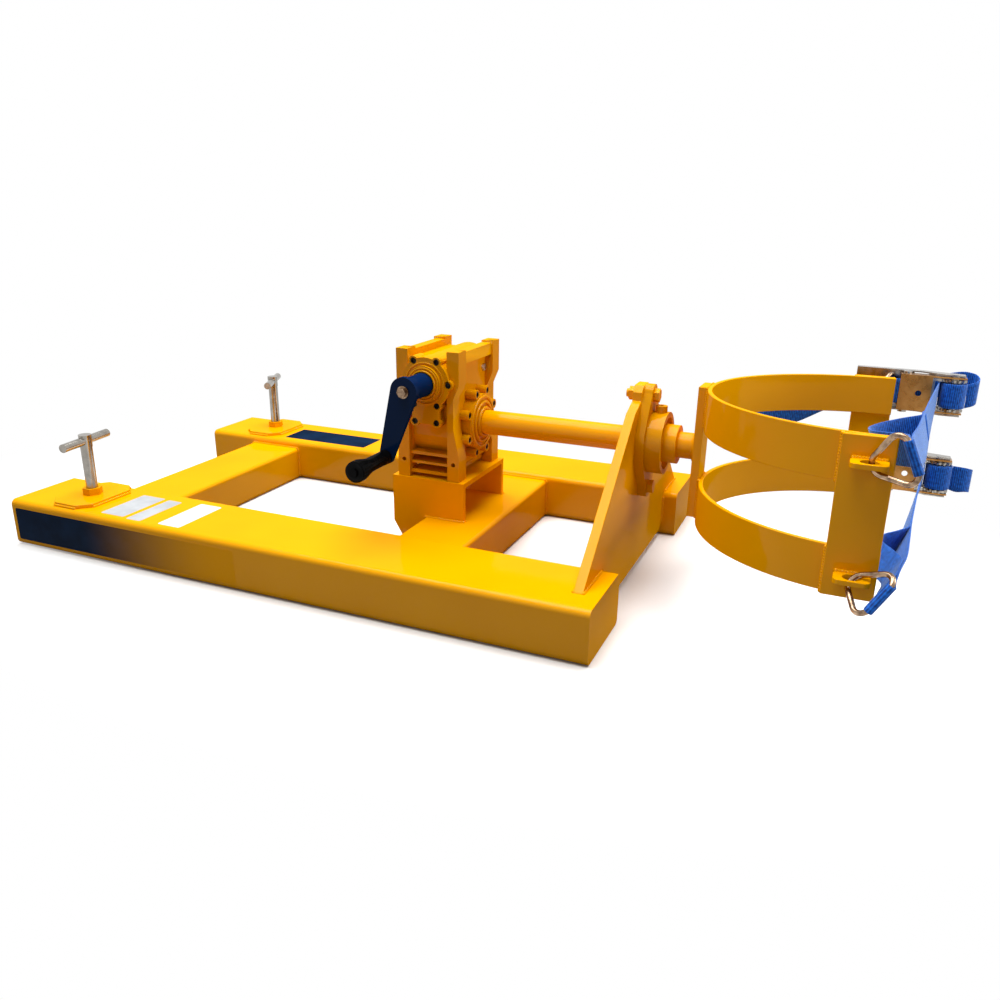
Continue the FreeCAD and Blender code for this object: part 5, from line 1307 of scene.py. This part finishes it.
@dataclass
class Strip:
    """A strip of webbing that follows a smooth route, with its weave's UV map.

    Attributes:
        route: Middle points of the webbing.
        wides: Direction of its width at each point.
        width: Its width.
        thickness: Its thickness.
        selvedge: Rounding of its edges.
        step: Length of a face along the route.
        columns: Faces across the width.
    """

    route: list[Vector]
    wides: list[Vector]
    width: float = 50 * MM
    thickness: float = 2.2 * MM
    selvedge: float = 0.5 * MM
    step: float = 6 * MM
    columns: int = 8

    def slopes(self) -> list[Vector]:
        """Work out the route's direction at each point, weighted by the runs on both sides of it.

        Returns:
            One direction for each point.
        """
        slopes = []
        for i, point in enumerate(self.route):
            back = point - self.route[i - 1] if i else self.route[1] - point
            ahead = self.route[i + 1] - point if i + 1 < len(self.route) else back
            weight = back.length + ahead.length
            slopes.append((back / back.length * ahead.length + ahead / ahead.length * back.length) / weight)
        return slopes

    def smooth_route(self) -> tuple[list[Vector], list[Vector]]:
        """Draw a smooth curve through the route.

        Returns:
            Points along the curve, and the direction of the width at each.
        """
        points: list[Vector] = []
        wides: list[Vector] = []
        slopes = self.slopes()
        for i, (first, second) in enumerate(zip(self.route, self.route[1:])):
            run = (second - first).length
            cuts = max(1, round(run / self.step))
            for cut in range(cuts):
                t = cut / cuts
                points.append(first * (1 - 3 * t * t + 2 * t ** 3) + second * (3 * t * t - 2 * t ** 3)
                              + slopes[i] * run * (t - 2 * t * t + t ** 3)
                              + slopes[i + 1] * run * (t ** 3 - t * t))
                wides.append(self.wides[i].lerp(self.wides[i + 1], t).normalized())
        return points + [self.route[-1]], wides + [self.wides[-1].normalized()]

    def length(self) -> float:
        """Return the length of the smooth route."""
        points = self.smooth_route()[0]
        return sum((b - a).length for a, b in zip(points, points[1:]))

    def build(self, name: str, material: bpy.types.Material) -> bpy.types.Object:
        """Model the strip.

        Args:
            name: Name of the piece.
            material: Its finish.

        Returns:
            The finished strip.
        """
        points, wides = self.smooth_route()
        rows = self.columns + 1
        verts = [tuple(p + w * self.width * (k / self.columns - 0.5)) for p, w in zip(points, wides)
                 for k in range(rows)]
        faces = [(i * rows + k, i * rows + k + 1, (i + 1) * rows + k + 1, (i + 1) * rows + k)
                 for i in range(len(points) - 1) for k in range(self.columns)]
        mesh = bpy.data.meshes.new(name)
        mesh.from_pydata(verts, [], faces)
        run = [0.0]
        for a, b in zip(points, points[1:]):
            run.append(run[-1] + (b - a).length)
        layer = mesh.uv_layers.new(name="weave")
        for loop in mesh.loops:
            row, column = divmod(loop.vertex_index, rows)
            layer.data[loop.index].uv = (column / self.columns, run[row] / self.width)
        piece = Bench.linked(name, mesh)
        wall = piece.modifiers.new("thickness", "SOLIDIFY")
        wall.thickness = self.thickness
        wall.offset = 0.0
        Bench.round_off(piece, self.selvedge, 60)
        Bench.apply(piece)
        Bench.smooth(piece, degrees=50)
        Bench.paint(piece, material)
        return piece


@dataclass(frozen=True)
class StrapRoute:
    """Route of one strap and where its ratchet sits.

    Attributes:
        bar: Middle of the near ring's bar.
        wide: Direction of the webbing's width on that bar.
        end: Where the run meets the winding.
        bow: How far the taut layer bows towards the hoop.
        loop_bow: The same for the slack layer of the sewn loop.
        loop_sag: How far that layer hangs down where it bows most.
        loop_shares: Places of the slack layer along the run, with their share of its bow.
        tail: Middles of the loose end, from the spool outwards.
        spool: Middle of the spool.
        far_bar: Middle of the far ring's bar.
        anchor: Middle of the ratchet's anchor bolt.
    """

    bar: Point
    wide: Point
    end: Point
    bow: float
    loop_bow: float
    loop_sag: float
    loop_shares: Shares
    tail: tuple[Point, ...]
    spool: Point
    far_bar: Point
    anchor: Point


# Places of the taut layer along the run, with their share of its bow.
TAUT_SHARES = ((0.07, 0.5), (0.17, 1.0), (0.27, 0.8), (0.40, 0.4), (0.60, 0.1), (0.80, 0.0), (1.0, 0.0))
ROUTES = {
    Level.UPPER: StrapRoute(
        bar=(1.7114, -0.3602, 0.3983), wide=(-0.409, 0.123, 0.904), end=(1.7784, 0.3999, 0.3426),
        bow=-3 * MM, loop_bow=66 * MM, loop_sag=14 * MM,
        loop_shares=((0.07, 0.06), (0.12, 0.5), (0.17, 0.9), (0.22, 1.0), (0.27, 0.8), (0.31, 0.42)),
        tail=((1.8326, 0.3999, 0.3426), (1.8477, 0.4063, 0.3473), (1.8539, 0.4213, 0.3517),
              (1.8477, 0.4364, 0.358), (1.8329, 0.4428, 0.3608), (1.79, 0.4428, 0.354),
              (1.75, 0.4426, 0.3445), (1.6842, 0.4424, 0.343), (1.5779, 0.434, 0.3122),
              (1.4929, 0.4058, 0.2709), (1.4079, 0.3724, 0.2617)),
        spool=(1.806, 0.3999, 0.3426), far_bar=(1.6913, 0.3999, 0.3426), anchor=(1.7153, 0.3999, 0.3426)),
    Level.LOWER: StrapRoute(
        bar=(1.6981, -0.3874, 0.1986), wide=(0.532, 0.441, 0.723), end=(1.7784, 0.3923, 0.1688),
        bow=-9 * MM, loop_bow=36 * MM, loop_sag=0.0,
        loop_shares=((0.06, -0.02), (0.11, -0.085), (0.155, -0.08), (0.20, 0.35), (0.25, 0.9), (0.29, 0.9),
                     (0.335, 0.35)),
        tail=((1.8326, 0.3923, 0.1688), (1.8589, 0.3938, 0.1667), (1.8703, 0.405, 0.1622),
              (1.8719, 0.413, 0.1599), (1.8657, 0.4276, 0.1552), (1.8509, 0.4336, 0.151),
              (1.8233, 0.4337, 0.1588), (1.8049, 0.4321, 0.163)),
        spool=(1.806, 0.3923, 0.1688), far_bar=(1.6913, 0.3923, 0.1688), anchor=(1.7153, 0.3923, 0.1688)),
}


@dataclass
class RatchetStrap:
    """Webbing of one level: run with its sewn eye, loose tail, winding and anchor loop."""

    level: Level
    finishes: Finishes
    wire: float = 4.5 * MM
    bolt: float = 6.0 * MM
    # Eye round the near ring's wire, and the sewn lap in shares of the run.
    eye_gap: float = 1.7 * MM
    eye_degrees: tuple[int, ...] = (70, 110, 150, 190, 230, 270, 300)
    lap_gap: float = 2.4 * MM
    lap_share: float = 0.035
    lap_shares: tuple[float, ...] = (0.055, 0.03, 0.0)
    lap_bow_share: float = 0.45
    # Where the run starts to follow its ring and where it follows fully, off the ring's bar.
    bend_start: float = 110 * MM
    bend_end: float = 20 * MM
    # Rows of sewing across the lap.
    thread_rows: int = 6
    thread_share: float = 0.006
    thread_step_share: float = 0.008
    thread_radius: float = 0.6 * MM
    thread_length: float = 42 * MM
    thread_lie: float = 1.2 * MM
    # From the tail's start to where it follows the handle fully.
    tail_swing: Point = (-20 * MM, 40 * MM, 0.0)
    # Winding on the spool, whose last turn climbs at once and then stays round.
    turns: int = 4
    turn_steps: int = 28
    turn_face: float = 20 * MM
    climb: float = 0.17
    pitch: float = 3.0 * MM
    first_turn: float = 12.9 * MM
    # Loop round the far ring's wire and the anchor bolt.
    loop_gap: float = 1.6 * MM
    loop_steps: int = 8
    loop_face: float = 5 * MM
    loop_bend: Pair = (6 * MM, 4 * MM)

    @property
    def route(self) -> StrapRoute:
        """Return the measured route."""
        return ROUTES[self.level]

    @property
    def up(self) -> Vector:
        """Return the clamp's upright direction."""
        return Matrix.Rotation(CLAMP_TURN, 3, "X") @ Vector((0, 0, 1))

    def round_point(self, centre: Vector, radius: float, angle: float) -> Vector:
        """Return the point of a level circle at an angle from +X."""
        out = self.up.cross(ACROSS).normalized()
        return centre + (ACROSS * math.cos(angle) + out * math.sin(angle)) * radius

    def layer(self, bow: float, shares: Shares, sag: float = 0.0) -> tuple[list[Vector], list[Vector]]:
        """Lay one layer of the run, from the bar on.

        Args:
            bow: How far the layer bows towards the hoop.
            shares: Places along the run, with their share of the bow.
            sag: How far it hangs down where it bows most.

        Returns:
            Middles of the webbing and directions of its width.
        """
        bar, end, wide = Vector(self.route.bar), Vector(self.route.end), Vector(self.route.wide)
        middles = [bar + (end - bar) * share - Vector((bow * part, 0, sag * part)) for share, part in shares]
        return middles, [(wide * (1 - share) + self.up * share).normalized() for share, _ in shares]

    def run(self) -> None:
        """Model the run: sewn lap, slack layer, eye round the ring's bar, and taut layer to the spool."""
        route = self.route
        bar, wide = Vector(route.bar), Vector(route.wide).normalized()
        taut, taut_wides = self.layer(route.bow, TAUT_SHARES)
        slack, slack_wides = self.layer(route.loop_bow, route.loop_shares, route.loop_sag)
        joint = route.loop_shares[-1][0] + self.lap_share
        lap, lap_wides = self.layer(route.bow * self.lap_bow_share,
                                    tuple((joint + share, 1.0) for share in self.lap_shares))
        ahead = (taut[0] - bar).normalized()
        side = wide.cross(ahead).normalized()
        lap = [point + side * self.lap_gap for point in lap]
        reach = self.wire + self.eye_gap
        eye = [bar + (ahead * math.cos(angle) + side * math.sin(angle)) * reach
               for angle in map(math.radians, self.eye_degrees)]
        strip = Strip(lap + slack[::-1] + eye + taut,
                      lap_wides + slack_wides[::-1] + [wide] * len(eye) + taut_wides)
        piece = strip.build(f"{self.level.value}_strap_run", self.finishes.webbing)
        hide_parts(f"{self.level.value}_strap")
        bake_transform(piece)
        strip.length()
        self.stitching(joint, side)

    def stitching(self, joint: float, side: Vector) -> None:
        """Sew the lap with rows of thread across both layers.

        Args:
            joint: Where along the run the lap starts.
            side: Direction from the taut layer to the slack one.
        """
        rows = []
        shares = tuple((joint + self.thread_share + self.thread_step_share * row, self.lap_bow_share)
                       for row in range(self.thread_rows))
        for place, wide in zip(*self.layer(self.route.bow, shares)):
            Bench.clear()
            bpy.ops.mesh.primitive_cylinder_add(vertices=6, radius=self.thread_radius,
                                                depth=self.thread_length,
                                                location=place - side * self.thread_lie)
            piece = Bench.named("thread")
            piece.rotation_euler = wide.to_track_quat("Z", "Y").to_euler()
            Bench.apply(piece)
            rows.append(piece)
        piece = Bench.join(rows, f"{self.level.value}_stitching")
        Bench.smooth(piece)
        Bench.paint(piece, self.finishes.stitch)
        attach(piece, Body.CLAMP.value)

    def tail(self) -> None:
        """Model the loose end."""
        points = [Vector(point) for point in self.route.tail]
        strip = Strip(points, [self.up] * len(points))
        piece = strip.build(f"{self.level.value}_strap_tail", self.finishes.webbing)
        strip.length()
        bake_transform(piece)

    def winding(self) -> None:
        """Model the webbing wound on the spool, with its last turn round."""
        steps = self.turns * self.turn_steps
        points = []
        for i in range(steps + 1):
            turned = self.turns * i / steps
            angle = math.pi + 2 * math.pi * (turned - self.turns)
            last = min(1.0, max(0.0, turned - self.turns + 1) / self.climb)
            radius = self.first_turn + self.pitch * (min(turned, self.turns - 1) + last)
            points.append(self.round_point(Vector(self.route.spool), radius, angle))
        strip = Strip(points, [self.up] * len(points), step=self.turn_face)
        piece = strip.build(f"{self.level.value}_wound_webbing", self.finishes.webbing)
        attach(piece, f"{self.level.value}_spool")
        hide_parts(f"{self.level.value}_webbing_roll")
        strip.length()

    def loop(self) -> bpy.types.Object:
        """Model the short loop round the far ring's bar and the anchor bolt.

        Returns:
            The loop.
        """
        bar, anchor = Vector(self.route.far_bar), Vector(self.route.anchor)
        points = []
        for centre, radius, start in ((bar, self.wire, math.pi / 2), (anchor, self.bolt, math.pi * 3 / 2)):
            for k in range(self.loop_steps + 1):
                angle = start + math.pi * k / self.loop_steps
                points.append(self.round_point(centre, radius + self.loop_gap, angle))
        points.append(points[0].copy())
        strip = Strip(points, [self.up] * len(points), step=self.loop_face)
        piece = strip.build(f"{self.level.value}_anchor_webbing", self.finishes.webbing)
        strip.length()
        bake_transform(piece)
        return piece

    def build(self) -> bpy.types.Object:
        """Model the strap.

        Returns:
            Its anchor loop.
        """
        self.run()
        self.tail()
        self.winding()
        LOG.info("wove the %s strap", self.level.value)
        return self.loop()


def shown(tree: bpy.types.NodeTree) -> bpy.types.NodeSocket:
    """Tell the rays that show the background from those that light the part.

    Args:
        tree: The node tree that asks.

    Returns:
        An output that is one for camera, glossy and transmission rays.
    """
    path = add_node(tree, "ShaderNodeLightPath")
    rays = path.outputs["Is Camera Ray"]
    for other in ("Is Transmission Ray", "Is Glossy Ray"):
        rays = add_node(tree, "ShaderNodeMath", {"operation": "MAXIMUM"},
                        {0: rays, 1: path.outputs[other]}).outputs[0]
    return rays


@dataclass(frozen=True)
class FloorPaint(Finish):
    """Matt white paint that fades to plain white away from the part, and bounces less than it shows."""

    pale: str = "#F8F8F7"
    bounce: str = "#7C7C7A"
    squash: Point = (0.9, 1.6, 0)
    fade_start: float = 0.75
    fade_end: float = 1.35

    def pattern(self, tree: bpy.types.NodeTree) -> tuple[Sockets, Sockets]:
        """Add the fade and the two shades of the floor.

        Args:
            tree: The material's node tree.

        Returns:
            The shader's settings and links.
        """
        seen = shown(tree)
        spot = add_node(tree, "ShaderNodeTexCoord").outputs["Object"]
        scaled = add_node(tree, "ShaderNodeVectorMath", {"operation": "MULTIPLY", 1: self.squash}, {0: spot})
        away = add_node(tree, "ShaderNodeVectorMath", {"operation": "LENGTH"}, {0: scaled.outputs[0]})
        fade = add_node(tree, "ShaderNodeMapRange",
                        {"From Min": self.fade_start, "From Max": self.fade_end,
                         "interpolation_type": "SMOOTHSTEP"}, {"Value": away.outputs["Value"]})
        glow = add_node(tree, "ShaderNodeMath", {"operation": "MULTIPLY"},
                        {0: fade.outputs["Result"], 1: seen})
        shade = add_node(tree, "ShaderNodeMix",
                         {"data_type": "RGBA", 6: linear(self.bounce), 7: linear(self.pale)}, {0: seen})
        dark = add_node(tree, "ShaderNodeMix", {"data_type": "RGBA", 7: (0, 0, 0, 1)},
                        {0: glow.outputs[0], 6: shade.outputs[2]})
        return ({"Emission Color": WHITE, "Specular IOR Level": 0.0, "Roughness": 1.0},
                {"Base Color": dark.outputs[2], "Emission Strength": glow.outputs[0]})


@dataclass(frozen=True)
class Softbox:
    """One square lamp.

    Attributes:
        name: Name of the lamp.
        place: Where it stands.
        aim: What it points at.
        size: Side of its face.
        power: Its power in watts.
    """

    name: str
    place: Point
    aim: Point
    size: float
    power: float


SOFTBOXES = (
    Softbox("top_softbox", (0.5, 0.4, 4.4), (0.9, 0, 0.2), 4.2, 405),
    Softbox("front_softbox", (3.6, 0.6, 1.1), (1.3, -0.1, 0.1), 1.4, 28),
    Softbox("near_fill", (0.6, -3.4, 1.3), (0.8, 0, 0.2), 1.8, 6),
)


@dataclass
class Studio:
    """Pale floor, soft light and the camera of the photograph."""

    eye: Point = (1.63782, -1.62661, 0.72910)
    yaw: float = 0.397
    pitch: float = 0.3367
    roll: float = 0.0137
    focal_share: float = 0.8785
    sensor_mm: float = 36.0
    sight: float = 50.0
    sky: float = 0.21
    floor_size: float = 40.0
    floor_middle: Point = (0.9, 0, -0.5 * MM)

    def camera(self) -> None:
        """Place the camera."""
        level = math.cos(self.pitch)
        ahead = Vector((-math.sin(self.yaw) * level, math.cos(self.yaw) * level, -math.sin(self.pitch)))
        right = Vector((math.cos(self.yaw), math.sin(self.yaw), 0))
        up = right.cross(ahead)
        across = right * math.cos(self.roll) + up * math.sin(self.roll)
        upright = up * math.cos(self.roll) - right * math.sin(self.roll)
        turn = Matrix((across, upright, -ahead)).transposed()
        bpy.ops.object.camera_add(location=self.eye, rotation=turn.to_euler())
        camera = bpy.context.object
        camera.name = "photo_camera"
        camera.data.sensor_width = self.sensor_mm
        camera.data.lens = self.sensor_mm * self.focal_share
        camera.data.clip_end = self.sight
        bpy.context.scene.camera = camera

    def lamps(self) -> None:
        """Set up the softboxes."""
        for box in SOFTBOXES:
            bpy.ops.object.light_add(type="AREA", location=box.place)
            lamp = bpy.context.object
            lamp.name = box.name
            lamp.data.size = box.size
            lamp.data.energy = box.power
            lamp.rotation_euler = (Vector(box.aim) - Vector(box.place)).to_track_quat("-Z", "Y").to_euler()

    def surround(self) -> None:
        """Set the world: white where it is seen or mirrored, plain grey light otherwise."""
        world = bpy.data.worlds.new("studio")
        bpy.context.scene.world = world
        world.use_nodes = True
        tree = world.node_tree
        tree.nodes.clear()
        grey, white = (add_node(tree, "ShaderNodeBackground", {"Color": WHITE, "Strength": strength})
                       for strength in (self.sky, 1.0))
        mix = add_node(tree, "ShaderNodeMixShader", links={0: shown(tree), 1: grey.outputs[0],
                                                           2: white.outputs[0]})
        add_node(tree, "ShaderNodeOutputWorld", links={"Surface": mix.outputs[0]})

    def floor(self) -> None:
        """Lay the pale floor."""
        Bench.clear()
        bpy.ops.mesh.primitive_plane_add(size=self.floor_size, location=self.floor_middle)
        floor = Bench.named("studio_floor")
        Bench.paint(floor, FloorPaint("matt_white_floor").material())

    def build(self) -> None:
        """Set up the studio."""
        self.surround()
        self.floor()
        self.lamps()
        self.camera()
        bpy.context.scene.view_settings.view_transform = "Standard"


def main() -> None:
    """Build the dressed part and its studio."""
    FRAME.update(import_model())
    finishes = Finishes()
    for assembly in (Dressing, SoftEdges, Welds, BareFilms, CrankGrip, GearboxTrim, DeltaRings):
        assembly(finishes).build()
    loops = [RatchetStrap(level, finishes).build() for level in Level]
    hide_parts("anchor_loops")
    Studio().build()


if __name__ == "__main__":
    main()
